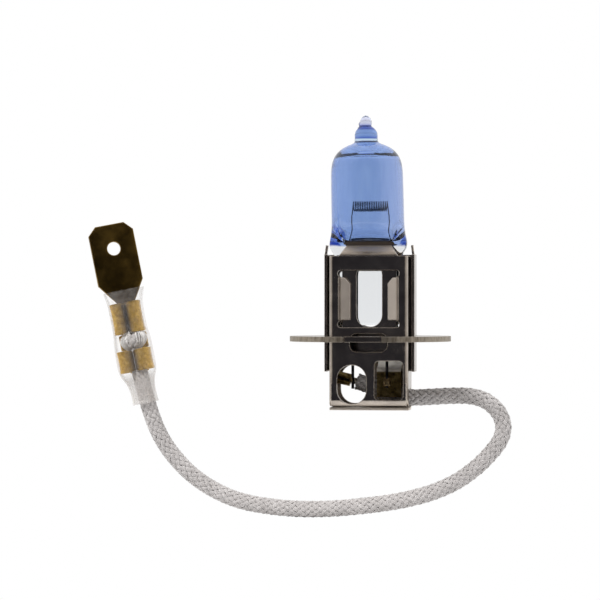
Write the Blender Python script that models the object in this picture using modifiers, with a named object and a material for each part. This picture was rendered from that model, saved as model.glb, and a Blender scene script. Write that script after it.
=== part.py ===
"""Automotive headlight bulb with one transverse filament, a 22 mm locating flange and a braided supply lead.

Frame: +Z runs along the bulb's axis towards the glass tip, the origin is on that axis at the flange's
glass-side face, -Y is the front and +X is the side where the lead leaves.
"""
import math

import bmesh
import bpy
from mathutils import Matrix, Vector

MM = 0.001

# Clearances
GAP = 0.12 * MM                      # between sheet parts that sit against each other
LOOSE = 0.25 * MM                    # round a part that passes through a hole
SIDE_GAP = 0.38 * MM                 # between the side walls of the two shells
PINCH_ROOM = 0.37 * MM               # between the pinch's edges and the front shell's side walls
NIP = 0.015 * MM                     # between the lead and the foot it lies on

# Flange
FLANGE_DIAMETER = 22.0 * MM
FLANGE_THICKNESS = 0.74 * MM
FLANGE_EDGE_ROUND = 0.12 * MM
NOTCH_WIDTH = 5.2 * MM
NOTCH_DEPTH = 1.6 * MM

# Sheet
SHEET = 0.38 * MM
CLIP_SHEET = 0.25 * MM               # clip plates and ground strap
BEND = 0.45 * MM                     # bend radius at the middle of the sheet
APRON_BEND = 1.6 * MM                # bend at the foot of the front face
CORNER = 0.3 * MM                    # radius in the corners of punched openings

# Glass
GLASS_DIAMETER = 10.0 * MM
GLASS_WALL = 0.75 * MM
GLASS_LEAN = math.radians(1.2)       # pressed glass never stands quite true in its base
FILAMENT_HEIGHT = 18.0 * MM
PINCH_THICKNESS = 2.2 * MM
PINCH_BOTTOM = 1.5 * MM
PINCH_EDGE = 0.15 * MM               # how much the pinch narrows at its bottom edge
FLARE_WIDTH = GLASS_DIAMETER + 0.6 * MM
DOME_START = FILAMENT_HEIGHT + 4.9 * MM
DOME_HEIGHT = GLASS_DIAMETER * 0.35
NECK_RADIUS = 1.58 * MM
EXHAUST_TIP = [                      # height above the dome and share of the neck's radius
    (0.2, 1.0), (1.3, 1.0), (1.85, 0.86), (2.25, 0.61), (2.45, 0.47), (2.9, 0.51), (3.5, 0.38),
    (3.8, 0.18), (3.88, 0.06),
]
CEILING_HEIGHT = 1.7 * MM            # of the hollow's domed top

# Height and depth of the base
SHELL_TOP = FILAMENT_HEIGHT - 7.1 * MM
SHELL_BOTTOM = -9.6 * MM
SHELL_WIDTH = GLASS_DIAMETER + 0.8 * MM
FLAP_LENGTH = 1.3 * MM
FLAP_ANGLE = math.radians(27.0)
FLAP_CHAMFER = 0.8 * MM
FLAP_ROOM = FLAP_LENGTH * math.sin(FLAP_ANGLE) + GAP
SHELL_DEPTH = PINCH_THICKNESS + 2 * (GAP + CLIP_SHEET + FLAP_ROOM + SHEET)
REAR_WIDTH = SHELL_WIDTH + 2 * (SIDE_GAP + SHEET)
REAR_WALL_BOTTOM = SHELL_BOTTOM + 4.75 * MM
REAR_WALL_FRONT = -SHELL_DEPTH / 2 + 1.2 * MM    # front edge of the rear shell's side walls
REAR_WALL_TOP = SHELL_TOP + 0.2 * MM
EAR_HEIGHT = 1.25 * MM
EAR_DEPTH = 0.6 * MM
EAR_LEAN = math.radians(7.0)

# Tongues that lean in to the glass
TONGUE_BASE_WIDTH = SHELL_WIDTH - 2.8 * MM
TONGUE_TIP_WIDTH = TONGUE_BASE_WIDTH - 1.6 * MM
TONGUE_LIP_WIDTH = TONGUE_BASE_WIDTH - 1.0 * MM
TONGUE_TOP = SHELL_TOP + 1.35 * MM
TONGUE_DEPTH = PINCH_THICKNESS / 2 + 0.5 * MM    # middle of the sheet where it meets the glass
LIP_TOP = SHELL_TOP + 2.05 * MM
LIP_REACH = 0.35 * MM

# Where the glass changes from pinch to round
PINCH_WIDTH = SHELL_WIDTH - 2 * (SHEET + PINCH_ROOM)
PINCH_TOP = SHELL_TOP + 1.8 * MM
SHOULDER_TOP = PINCH_TOP + 3.1 * MM
HOLLOW_BOTTOM = PINCH_TOP + 1.2 * MM

# Openings in the base
WINDOW_WIDTH = SHELL_WIDTH - 3.2 * MM
WINDOW_TOP = SHELL_TOP - 1.96 * MM
WINDOW_BOTTOM = 1.17 * MM
LOBE_WIDTH = WINDOW_WIDTH + 0.8 * MM
LOBE_HEIGHT = 0.88 * MM
SLOT_WIDTH = 5.1 * MM
SLOT_HEIGHT = 2.5 * MM
SLOT_HEIGHT_CENTRE = -0.9 * MM
SLOT_CORNER = 0.9 * MM
OVAL_WIDTH = SHELL_WIDTH * 0.37
OVAL_HEIGHT = 5.3 * MM
OVAL_CENTRE = (-SHELL_WIDTH * 0.213, SHELL_BOTTOM + 3.0 * MM)
WELD_WINDOW_WIDTH = SHELL_WIDTH * 0.361
WELD_WINDOW_HEIGHT = 5.3 * MM
WELD_WINDOW_CENTRE = (SHELL_WIDTH * 0.255, SHELL_BOTTOM + 3.55 * MM)
WELD_WINDOW_CORNER = 0.6 * MM

# Pinch clip plates
CLIP_WIDTH = PINCH_WIDTH - 1.9 * MM
CLIP_BOTTOM = 0.5 * MM
CLIP_TOP = SHELL_TOP - 0.3 * MM
CLIP_CORNER = 0.4 * MM
CLIP_SLOT_WIDTH = CLIP_WIDTH * 0.473
CLIP_SLOT_BOTTOM = CLIP_BOTTOM + 0.75 * MM
CLIP_SLOT_TOP = CLIP_TOP - 0.7 * MM

# Filament and feed-throughs
FEED_SPACING = PINCH_WIDTH - 4.5 * MM            # between the two foils' centre lines
COIL_LENGTH = 4.7 * MM
COIL_DIAMETER = 1.25 * MM
COIL_TURNS = 15
COIL_POINTS_PER_TURN = 8
FILAMENT_WIRE = 0.16 * MM
FOIL_WIDTH = 1.5 * MM
FOIL_THICKNESS = 0.06 * MM
FOIL_TOP = PINCH_TOP - 1.5 * MM
FOIL_BOTTOM = PINCH_BOTTOM + 2.7 * MM
FILAMENT_FOOT = FOIL_TOP + 0.2 * MM
LEG_SPLAY = 0.15 * MM                # each leg's foot lies outside its foil's centre line
LEAD_OUT_WIRE = 0.4 * MM
FEED_CHANNEL_WIDTH = FOIL_WIDTH + 0.9 * MM
FEED_CHANNEL_DEPTH = LEAD_OUT_WIRE + 0.2 * MM

# Values worked out from those above
HALF_SHEET = SHEET / 2
FRONT_MID = -(SHELL_DEPTH / 2 - HALF_SHEET)
REAR_MID = -FRONT_MID
INNER_HALF_DEPTH = SHELL_DEPTH / 2 - SHEET
SIDE_MID = SHELL_WIDTH / 2 - HALF_SHEET
REAR_SIDE_MID = REAR_WIDTH / 2 - HALF_SHEET
REAR_FOOT = SHELL_BOTTOM - GAP - HALF_SHEET
CLIP_INNER = PINCH_THICKNESS / 2 + GAP
GLASS_RADIUS = GLASS_DIAMETER / 2

# Supply lead
LEAD_DIAMETER = 2.25 * MM
LEAD_BORE = 1.2 * MM
CONDUCTOR_DIAMETER = 0.9 * MM
LEAD_PLANE = INNER_HALF_DEPTH - LEAD_DIAMETER / 2 - 0.355 * MM    # the lead lies in the plane y = this
LEAD_EXIT_HEIGHT = SHELL_BOTTOM + LEAD_DIAMETER / 2 + NIP
LEAD_START = -(FEED_SPACING / 2 - 0.6 * MM)      # the braid stops short of the live wire
CORD_ROUTE = [                       # x and height above the exit, in mm, from the base to the terminal
    (-0.4, 1.76), (1.4, 1.06), (3.4, 0.36), (5.6, 0.06), (8.2, 0.16), (11.0, 0.31), (13.6, 0.26),
    (15.7, -0.34), (17.4, -1.84), (18.1, -3.74), (17.7, -5.64), (16.4, -7.44), (14.4, -9.44),
    (11.6, -11.44), (8.2, -12.94), (4.0, -14.04), (-0.6, -14.74), (-5.2, -15.19), (-9.6, -15.29),
    (-13.8, -14.99), (-17.8, -14.29), (-21.3, -12.94), (-24.6, -10.84), (-27.3, -8.14), (-29.2, -5.34),
    (-30.5, -2.24), (-31.4, 0.86), (-32.2, 4.06),
]
LEAD_RISE = 2.21 * MM                # from the exit up to the braid's inner end
LEAD_STEP = 2.2 * MM                 # spacing of the points along the modelled lead

# Ground strap
STRAP_WIDTH = WELD_WINDOW_WIDTH - 0.6 * MM
STRAP_CENTRE = WELD_WINDOW_CENTRE[0] - 0.1 * MM
STRAP_FACE = LEAD_PLANE - LEAD_DIAMETER / 2 - 0.445 * MM    # middle of its upright part, front to back
STRAP_TOP = SHELL_BOTTOM + 6.3 * MM
STRAP_BEND = SHELL_BOTTOM + 5.0 * MM
STRAP_BOTTOM = SHELL_BOTTOM + 1.3 * MM

# Ferrule on the lead's inner end
FERRULE_LENGTH = 2.1 * MM
FERRULE_SHEET = 0.25 * MM
FERRULE_WIDTH = CONDUCTOR_DIAMETER + 2 * (FERRULE_SHEET + 0.15 * MM)
FERRULE_GAP = 0.35 * MM
FERRULE_CENTRE = (-(FEED_SPACING / 2 + 1.35 * MM), LEAD_EXIT_HEIGHT + 2.63 * MM)
FERRULE_TILT = math.radians(13.5)

# Blade terminal, in its own frame: u across, v towards the back, w along the blade
TERMINAL_BASE = (-34.35 * MM, LEAD_EXIT_HEIGHT + 14.74 * MM)
TERMINAL_LEAN = math.radians(11.4)
BLADE_WIDTH = 6.3 * MM
BLADE_THICKNESS = 0.8 * MM
BLADE_LENGTH = 9.35 * MM
BLADE_CHAMFER = 1.15 * MM
BLADE_HOLE = 1.85 * MM
BLADE_HOLE_HEIGHT = BLADE_LENGTH - 3.4 * MM
CRIMP_SHEET = 0.4 * MM
BLADE_PLANE = LEAD_DIAMETER / 2 + CRIMP_SHEET / 2 + 0.125 * MM
NECK_HALF_WIDTH = BLADE_WIDTH / 2 - 0.7 * MM
STRIP_WIDTH = 2.6 * MM
WIRE_CRIMP = (-1.7 * MM, -6.0 * MM)
WIRE_CRIMP_HALF_WIDTH = CONDUCTOR_DIAMETER / 2 + 1.35 * MM
WIRE_CRIMP_FRONT = -(CONDUCTOR_DIAMETER / 2 + 0.5 * MM)
GRIP_CRIMP = (-8.4 * MM, -11.3 * MM)
GRIP_CRIMP_HALF_WIDTH = LEAD_DIAMETER / 2 + 0.975 * MM
GRIP_CRIMP_FRONT = -(LEAD_DIAMETER / 2 + 0.375 * MM)
CRIMP_SHOULDER = 0.7 * MM            # from a crimp's side down to its front
CRIMP_ROLL = 0.25 * MM               # how far the wings' ends curl back in
CRIMP_CORNER = 0.7 * MM
BRAID_END = WIRE_CRIMP[1] - 0.35 * MM
CONDUCTOR_END = WIRE_CRIMP[0] - 0.3 * MM

# Sleeve
SLEEVE_WALL = 0.16 * MM
SLEEVE_ROOM = 0.3 * MM               # between the sleeve and what it is pulled over
SLEEVE_MOUTH = 0.4 * MM              # the same at its open upper end and along the braid
SLEEVE_TAIL = 4.1 * MM               # how far it runs on past the grip crimp

# Fineness of the curved surfaces
GLASS_SIDES = 36
HOLLOW_SIDES = 28
DOME_STEPS = 6
SLEEVE_SIDES = 28
FILL_SCALE = 1000.0                  # outlines are filled at this scale, then made small again
WELD = 1e-7

for old in list(bpy.data.objects):
    bpy.data.objects.remove(old, do_unlink=True)

PARTS = bpy.data.collections.new("headlight_bulb")
CUTTERS = bpy.data.collections.new("cutters")
for group in (PARTS, CUTTERS):
    bpy.context.scene.collection.children.link(group)


def linear(channel):
    """sRGB channel, 0 to 255, as a linear value."""
    c = channel / 255
    return c / 12.92 if c <= 0.04045 else ((c + 0.055) / 1.055) ** 2.4


def material(name, red, green, blue, roughness, metallic, alpha=1.0):
    made = bpy.data.materials.new(name)
    made.use_nodes = True
    shader = made.node_tree.nodes["Principled BSDF"]
    shader.inputs["Base Color"].default_value = (linear(red), linear(green), linear(blue), 1.0)
    shader.inputs["Roughness"].default_value = roughness
    shader.inputs["Metallic"].default_value = metallic
    shader.inputs["Alpha"].default_value = alpha
    return made


def finish(mesh, name, look, smooth_angle=None):
    """Name a mesh as one of the object's pieces and give it its material."""
    piece = bpy.data.objects.new(name, mesh)
    mesh.name = name
    mesh.materials.clear()
    mesh.materials.append(look)
    if smooth_angle is not None:
        mesh.shade_smooth()
        mesh.set_sharp_from_angle(angle=math.radians(smooth_angle))
    PARTS.objects.link(piece)
    return piece


def helper(mesh, name):
    """A hidden shape that another piece is joined to or cut by."""
    shape = bpy.data.objects.new(name, mesh)
    shape.hide_render = True
    shape.display_type = "WIRE"
    CUTTERS.objects.link(shape)
    return shape


def combine(piece, shape, operation):
    """Boolean of a piece with a helper shape: UNION, DIFFERENCE or INTERSECT."""
    step = piece.modifiers.new(shape.name, "BOOLEAN")
    step.operation = operation
    step.solver = "EXACT"
    step.object = shape


def welded(mesh):
    """The mesh with its loose seams closed and its faces pointing out."""
    work = bmesh.new()
    work.from_mesh(mesh)
    bmesh.ops.remove_doubles(work, verts=work.verts, dist=WELD)
    bmesh.ops.recalc_face_normals(work, faces=work.faces)
    work.to_mesh(mesh)
    work.free()
    return mesh


PLANES = {
    "XY": Matrix.Identity(4),
    "XZ": Matrix(((1, 0, 0, 0), (0, 0, -1, 0), (0, 1, 0, 0), (0, 0, 0, 1))),
    "YZ": Matrix(((0, 0, 1, 0), (1, 0, 0, 0), (0, 1, 0, 0), (0, 0, 0, 1))),
}


def extruded(outlines, low, high, plane):
    """Solid between low and high on the axis across a plane; later outlines are holes in the first."""
    curve = bpy.data.curves.new("outline", "CURVE")
    curve.dimensions = "2D"
    curve.fill_mode = "BOTH"
    curve.extrude = (high - low) / 2 * FILL_SCALE
    for outline in outlines:
        spline = curve.splines.new("POLY")
        spline.points.add(len(outline) - 1)
        for point, (a, b) in zip(spline.points, outline):
            point.co = (a * FILL_SCALE, b * FILL_SCALE, 0, 1)
        spline.use_cyclic_u = True
    holder = bpy.data.objects.new("outline", curve)
    CUTTERS.objects.link(holder)
    depsgraph = bpy.context.evaluated_depsgraph_get()
    mesh = bpy.data.meshes.new_from_object(holder.evaluated_get(depsgraph))
    bpy.data.objects.remove(holder, do_unlink=True)
    middle = (low + high) / 2
    across = -middle if plane == "XZ" else middle
    mesh.transform(PLANES[plane] @ Matrix.Translation((0, 0, across)) @ Matrix.Scale(1 / FILL_SCALE, 4))
    return welded(mesh)


def arc(centre, radius, start, end, steps):
    """Points round a centre, angles in degrees."""
    angles = [math.radians(start + (end - start) * i / steps) for i in range(steps + 1)]
    return [(centre[0] + radius * math.cos(a), centre[1] + radius * math.sin(a)) for a in angles]


def rounded_rectangle(centre, width, height, radius, steps=4):
    outline = []
    corners = ((1, 1, 0), (-1, 1, 90), (-1, -1, 180), (1, -1, 270))
    for side, end, start in corners:
        middle = (centre[0] + side * (width / 2 - radius), centre[1] + end * (height / 2 - radius))
        outline += arc(middle, radius, start, start + 90, steps)
    return outline


def rounded_path(corners, radius, steps=4):
    """An open path with its inner corners turned on a radius."""
    path = [Vector(corners[0])]
    for before, corner, after in zip(corners, corners[1:], corners[2:]):
        here = Vector(corner)
        back = (Vector(before) - here).normalized()
        ahead = (Vector(after) - here).normalized()
        half_angle = back.angle(ahead) / 2
        reach = min(radius / math.tan(half_angle), (Vector(before) - here).length * 0.49,
                    (Vector(after) - here).length * 0.49)
        bend = reach * math.tan(half_angle)
        centre = here + (back + ahead).normalized() * (bend / math.sin(half_angle))
        first = here + back * reach - centre
        last = here + ahead * reach - centre
        for i in range(steps + 1):
            spoke = first.lerp(last, i / steps).normalized() * bend
            path.append(centre + spoke)
    path.append(Vector(corners[-1]))
    return path


def strip_outline(path, thickness):
    """Closed outline of a sheet of some thickness whose middle follows an open path."""
    left, right = [], []
    for i, point in enumerate(path):
        before = (point - path[i - 1]).normalized() if i else (path[1] - point).normalized()
        after = (path[i + 1] - point).normalized() if i + 1 < len(path) else before
        along = (before + after).normalized()
        across = Vector((-along.y, along.x)) * (thickness / 2 / max(along.dot(after), 0.3))
        left.append(tuple(point + across))
        right.append(tuple(point - across))
    return left + right[::-1]


def bent_sheet(corners, radius, thickness, low, high, plane, steps=4):
    path = rounded_path(corners, radius, steps)
    return extruded([strip_outline(path, thickness)], low, high, plane)


def loft(rings):
    """Closed solid over rings of equal count, capped at both ends."""
    work = bmesh.new()
    rows = [[work.verts.new(point) for point in ring] for ring in rings]
    count = len(rows[0])
    for low, high in zip(rows, rows[1:]):
        for i in range(count):
            j = (i + 1) % count
            work.faces.new((low[i], low[j], high[j], high[i]))
    work.faces.new(rows[0][::-1])
    work.faces.new(rows[-1])
    bmesh.ops.recalc_face_normals(work, faces=work.faces)
    mesh = bpy.data.meshes.new("loft")
    work.to_mesh(mesh)
    work.free()
    return mesh


def oval_ring(half_u, half_v, squareness, sides, place):
    """A ring between an ellipse (squareness 2) and a rectangle (8 or more), put in place by a function."""
    ring = []
    for i in range(sides):
        angle = 2 * math.pi * (i + 0.5) / sides
        c, s = math.cos(angle), math.sin(angle)
        u = half_u * math.copysign(abs(c) ** (2 / squareness), c)
        v = half_v * math.copysign(abs(s) ** (2 / squareness), s)
        ring.append(place(u, v))
    return ring


def wire(points, diameter, resolution, name="wire"):
    """Round wire along a list of points, as a closed mesh."""
    curve = bpy.data.curves.new(name, "CURVE")
    curve.dimensions = "3D"
    curve.bevel_depth = diameter / 2
    curve.bevel_resolution = resolution
    curve.use_fill_caps = True
    spline = curve.splines.new("POLY")
    spline.points.add(len(points) - 1)
    for point, place in zip(spline.points, points):
        point.co = (*place, 1)
    holder = bpy.data.objects.new(name, curve)
    CUTTERS.objects.link(holder)
    depsgraph = bpy.context.evaluated_depsgraph_get()
    mesh = bpy.data.meshes.new_from_object(holder.evaluated_get(depsgraph))
    bpy.data.objects.remove(holder, do_unlink=True)
    return welded(mesh)


def smooth_route(points, step):
    """Points a step apart on a smooth curve through the given points."""
    padded = [2 * points[0] - points[1], *points, 2 * points[-1] - points[-2]]
    fine = []
    parts = 16
    for a, b, c, d in zip(padded, padded[1:], padded[2:], padded[3:]):
        for i in range(parts):
            t = i / parts
            fine.append(0.5 * (2 * b + (c - a) * t + (2 * a - 5 * b + 4 * c - d) * t ** 2
                               + (3 * b - a - 3 * c + d) * t ** 3))
    fine.append(points[-1])
    lengths = [0.0]
    for a, b in zip(fine, fine[1:]):
        lengths.append(lengths[-1] + (b - a).length)
    count = max(round(lengths[-1] / step), 1)
    route = []
    at = 0
    for i in range(count + 1):
        target = lengths[-1] * i / count
        while at < len(lengths) - 2 and lengths[at + 1] < target:
            at += 1
        share = (target - lengths[at]) / (lengths[at + 1] - lengths[at])
        route.append(fine[at].lerp(fine[at + 1], share))
    return route


# ---------------------------------------------------------------- materials

NICKEL = material("nickel_plated_steel", 0x6A, 0x65, 0x60, 0.22, 1.0)
BRONZE = material("phosphor_bronze", 0x5C, 0x4A, 0x2C, 0.35, 1.0)
BRASS = material("tarnished_brass", 0x9A, 0x7A, 0x3A, 0.32, 1.0)
COATED_GLASS = material("blue_coated_glass", 0x7F, 0x9F, 0xD8, 0.03, 0.0, 0.45)
TUNGSTEN = material("tungsten", 0x4A, 0x4A, 0x55, 0.4, 1.0)
FOIL = material("molybdenum_foil", 0x8C, 0x8C, 0x90, 0.35, 1.0)
BRAID = material("glass_fibre_braid", 0xD6, 0xD4, 0xD0, 0.85, 0.0)
COPPER = material("tinned_copper", 0xA8, 0xA2, 0x98, 0.4, 1.0)
CLEAR_PLASTIC = material("clear_plastic", 0xE6, 0xE4, 0xE0, 0.2, 0.0, 0.35)


# ---------------------------------------------------------------- base

def i_window(depth_low, depth_high):
    """The pinch window: a rectangle with a rounded relief lobe at each corner."""
    middle = (WINDOW_TOP + WINDOW_BOTTOM) / 2
    main = rounded_rectangle((0, middle), WINDOW_WIDTH, WINDOW_TOP - WINDOW_BOTTOM, CORNER)
    shapes = [extruded([main], depth_low, depth_high, "XZ")]
    for height in (WINDOW_TOP - LOBE_HEIGHT / 2, WINDOW_BOTTOM + LOBE_HEIGHT / 2):
        lobe = rounded_rectangle((0, height), LOBE_WIDTH, LOBE_HEIGHT, LOBE_HEIGHT * 0.42)
        shapes.append(extruded([lobe], depth_low, depth_high, "XZ"))
    return shapes


def cut_openings(piece, depth_low, depth_high, is_front):
    """Window and lead-out hole in both shells; the level slot and the weld window only in the front one."""
    for i, shape in enumerate(i_window(depth_low, depth_high)):
        combine(piece, helper(shape, f"{piece.name}_window_{i}"), "DIFFERENCE")
    holes = [("oval", rounded_rectangle(OVAL_CENTRE, OVAL_WIDTH, OVAL_HEIGHT, OVAL_WIDTH * 0.48, 6))]
    if is_front:
        slot = rounded_rectangle((0, SLOT_HEIGHT_CENTRE), SLOT_WIDTH, SLOT_HEIGHT, SLOT_CORNER)
        size = (WELD_WINDOW_WIDTH, WELD_WINDOW_HEIGHT)
        weld_window = rounded_rectangle(WELD_WINDOW_CENTRE, *size, WELD_WINDOW_CORNER)
        holes += [("slot", slot), ("weld_window", weld_window)]
    for name, outline in holes:
        cutter = helper(extruded([outline], depth_low, depth_high, "XZ"), f"{piece.name}_{name}")
        combine(piece, cutter, "DIFFERENCE")


def tongue(side):
    """The tapered tongue that leans in to the glass and ends in a curled lip; side is -1 at the front."""
    depth = side * REAR_MID
    lean = side * TONGUE_DEPTH
    lip = side * (TONGUE_DEPTH + LIP_REACH)
    root = SHELL_TOP - 0.5 * MM
    bend = SHELL_TOP + 0.05 * MM
    corners = [(depth, root), (depth, bend), (lean, TONGUE_TOP), (lip, LIP_TOP)]
    sheet = helper(bent_sheet(corners, BEND, SHEET * 0.92, -TONGUE_BASE_WIDTH / 2, TONGUE_BASE_WIDTH / 2,
                              "YZ"), f"tongue_{side}")
    base, tip = TONGUE_BASE_WIDTH / 2, TONGUE_TIP_WIDTH / 2
    lens_low, lens_high = TONGUE_TOP - HALF_SHEET, LIP_TOP + HALF_SHEET
    half_height = (lens_high - lens_low) / 2
    lens = [(TONGUE_LIP_WIDTH / 2 * math.cos(math.radians(a)),
             lens_low + half_height * (1 + math.sin(math.radians(a)))) for a in range(-30, 211, 15)]
    shape = [(-base, root - GAP), (base, root - GAP), (base, bend), (tip, lens_low), *lens, (-tip, lens_low),
             (-base, bend)]
    trim = helper(extruded([shape], -SHELL_DEPTH, SHELL_DEPTH, "XZ"), f"tongue_trim_{side}")
    combine(sheet, trim, "INTERSECT")
    return sheet


def front_shell():
    """Front face with side walls, foot rounded under, window flaps and top tongue."""
    wall_end = REAR_MID - HALF_SHEET - GAP
    corners = [(-SIDE_MID, wall_end), (-SIDE_MID, FRONT_MID), (SIDE_MID, FRONT_MID), (SIDE_MID, wall_end)]
    piece = finish(bent_sheet(corners, BEND, SHEET, SHELL_BOTTOM, SHELL_TOP, "XY"), "front_shell",
                   NICKEL, 40)
    front = -SHELL_DEPTH / 2
    foot_radius = APRON_BEND + HALF_SHEET
    side_view = [(front - GAP, SHELL_TOP + GAP), (front - GAP, SHELL_BOTTOM + foot_radius)]
    side_view += arc((front + foot_radius, SHELL_BOTTOM + foot_radius), foot_radius, 180, 270, 6)
    side_view += [(wall_end + GAP, SHELL_BOTTOM), (wall_end + GAP, SHELL_TOP + GAP)]
    trim = helper(extruded([side_view], -SHELL_WIDTH, SHELL_WIDTH, "YZ"), "front_shell_side_view")
    combine(piece, trim, "INTERSECT")
    foot_end = LEAD_PLANE - LEAD_DIAMETER / 2 - GAP
    foot = [(FRONT_MID, SHELL_BOTTOM + 2 * APRON_BEND), (FRONT_MID, SHELL_BOTTOM + HALF_SHEET),
            (foot_end, SHELL_BOTTOM + HALF_SHEET)]
    inside = SIDE_MID - HALF_SHEET * 0.5
    apron = helper(bent_sheet(foot, APRON_BEND, SHEET * 0.96, -inside, inside, "YZ", 6), "apron")
    combine(piece, apron, "UNION")
    cut_openings(piece, front - SHEET, -INNER_HALF_DEPTH + SHEET, True)
    top = WINDOW_TOP - LOBE_HEIGHT - GAP
    bottom = WINDOW_BOTTOM + LOBE_HEIGHT + GAP
    for side in (-1, 1):
        flap = [(0.35 * MM, bottom), (-FLAP_LENGTH, bottom), (-FLAP_LENGTH, top - FLAP_CHAMFER),
                (-FLAP_LENGTH + FLAP_CHAMFER, top), (0.35 * MM, top)]
        mesh = extruded([[(side * a, b) for a, b in flap]], -SHEET * 0.46, SHEET * 0.46, "XZ")
        turn = Matrix.Rotation(-side * FLAP_ANGLE, 4, "Z")
        mesh.transform(Matrix.Translation((side * WINDOW_WIDTH / 2, FRONT_MID, 0)) @ turn)
        combine(piece, helper(mesh, f"flap_{side}"), "UNION")
    combine(piece, tongue(-1), "UNION")
    room = LEAD_DIAMETER / 2 + LOOSE
    exit_notch = arc((LEAD_PLANE, LEAD_EXIT_HEIGHT), room, 0, 180, 8)
    exit_notch += [(LEAD_PLANE - room, SHELL_BOTTOM - SHEET), (LEAD_PLANE + room, SHELL_BOTTOM - SHEET)]
    notch = extruded([exit_notch], SIDE_MID - SHEET * 2, SIDE_MID + SHEET * 2, "YZ")
    combine(piece, helper(notch, "lead_exit"), "DIFFERENCE")


def rear_shell():
    """Outer channel round the back, with a tail and a foot that closes the base from below."""
    corners = [(-REAR_SIDE_MID, REAR_WALL_FRONT), (-REAR_SIDE_MID, REAR_MID), (REAR_SIDE_MID, REAR_MID),
               (REAR_SIDE_MID, REAR_WALL_FRONT)]
    piece = finish(bent_sheet(corners, BEND, SHEET, REAR_WALL_BOTTOM, REAR_WALL_TOP, "XY"), "rear_shell",
                   NICKEL, 40)
    tail = [(REAR_MID, REAR_WALL_BOTTOM + 0.6 * MM), (REAR_MID, REAR_FOOT), (FRONT_MID + 0.6 * MM, REAR_FOOT)]
    half = SHELL_WIDTH / 2
    combine(piece, helper(bent_sheet(tail, BEND, SHEET * 0.96, -half, half, "YZ"), "tail"), "UNION")
    cut_openings(piece, INNER_HALF_DEPTH - SHEET, SHELL_DEPTH / 2 + SHEET, False)
    for side in (-1, 1):
        ear = [(-SHEET * 0.4, -0.3 * MM), (SHEET * 0.4, -0.3 * MM), (SHEET * 0.4, EAR_HEIGHT),
               (-SHEET * 0.4, EAR_HEIGHT)]
        mesh = extruded([ear], REAR_WALL_FRONT + GAP, REAR_WALL_FRONT + GAP + EAR_DEPTH, "XZ")
        turn = Matrix.Rotation(-side * EAR_LEAN, 4, "Y")
        mesh.transform(Matrix.Translation((side * REAR_SIDE_MID, 0, REAR_WALL_TOP)) @ turn)
        combine(piece, helper(mesh, f"ear_{side}"), "UNION")
    combine(piece, tongue(1), "UNION")


def flange():
    """Locating disc with its notch at the front and an opening that clears both shells."""
    radius = FLANGE_DIAMETER / 2
    reach = math.degrees(math.asin(NOTCH_WIDTH / 2 / radius))
    floor = -radius + NOTCH_DEPTH
    rim = arc((0, 0), radius, -90 + reach, 270 - reach, 60)
    rim += [(-NOTCH_WIDTH / 2, floor), (NOTCH_WIDTH / 2, floor)]
    opening = rounded_rectangle((0, 0), REAR_WIDTH + 2 * GAP, SHELL_DEPTH + 2 * GAP, CORNER)
    piece = finish(extruded([rim, opening[::-1]], -FLANGE_THICKNESS, 0, "XY"), "flange", NICKEL, 40)
    soften = piece.modifiers.new("rim", "BEVEL")
    soften.width = FLANGE_EDGE_ROUND
    soften.segments = 2
    soften.limit_method = "ANGLE"
    soften.angle_limit = math.radians(50)


def clip_plates():
    """Two slotted plates that grip the glass pinch from the front and the back."""
    middle = (CLIP_TOP + CLIP_BOTTOM) / 2
    plate = rounded_rectangle((0, middle), CLIP_WIDTH, CLIP_TOP - CLIP_BOTTOM, CLIP_CORNER)
    slot_middle = (CLIP_SLOT_TOP + CLIP_SLOT_BOTTOM) / 2
    slot = rounded_rectangle((0, slot_middle), CLIP_SLOT_WIDTH, CLIP_SLOT_TOP - CLIP_SLOT_BOTTOM,
                             CLIP_SLOT_WIDTH * 0.46, 6)
    for name, side in (("pinch_clip_front", -1), ("pinch_clip_rear", 1)):
        faces = sorted((side * CLIP_INNER, side * (CLIP_INNER + CLIP_SHEET)))
        finish(extruded([plate, slot[::-1]], *faces, "XZ"), name, NICKEL)


def ground_strap():
    """Bronze strap inside the weld window: a sloping top and an upright face for the ground wire."""
    corners = [(INNER_HALF_DEPTH - GAP * 2, STRAP_TOP), (STRAP_FACE, STRAP_BEND), (STRAP_FACE, STRAP_BOTTOM)]
    sides = (STRAP_CENTRE - STRAP_WIDTH / 2, STRAP_CENTRE + STRAP_WIDTH / 2)
    finish(bent_sheet(corners, BEND, CLIP_SHEET, *sides, "YZ"), "ground_strap", BRONZE, 40)


# ---------------------------------------------------------------- glass and what it holds

LEAN = Matrix.Rotation(-GLASS_LEAN, 4, "Y")


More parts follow.
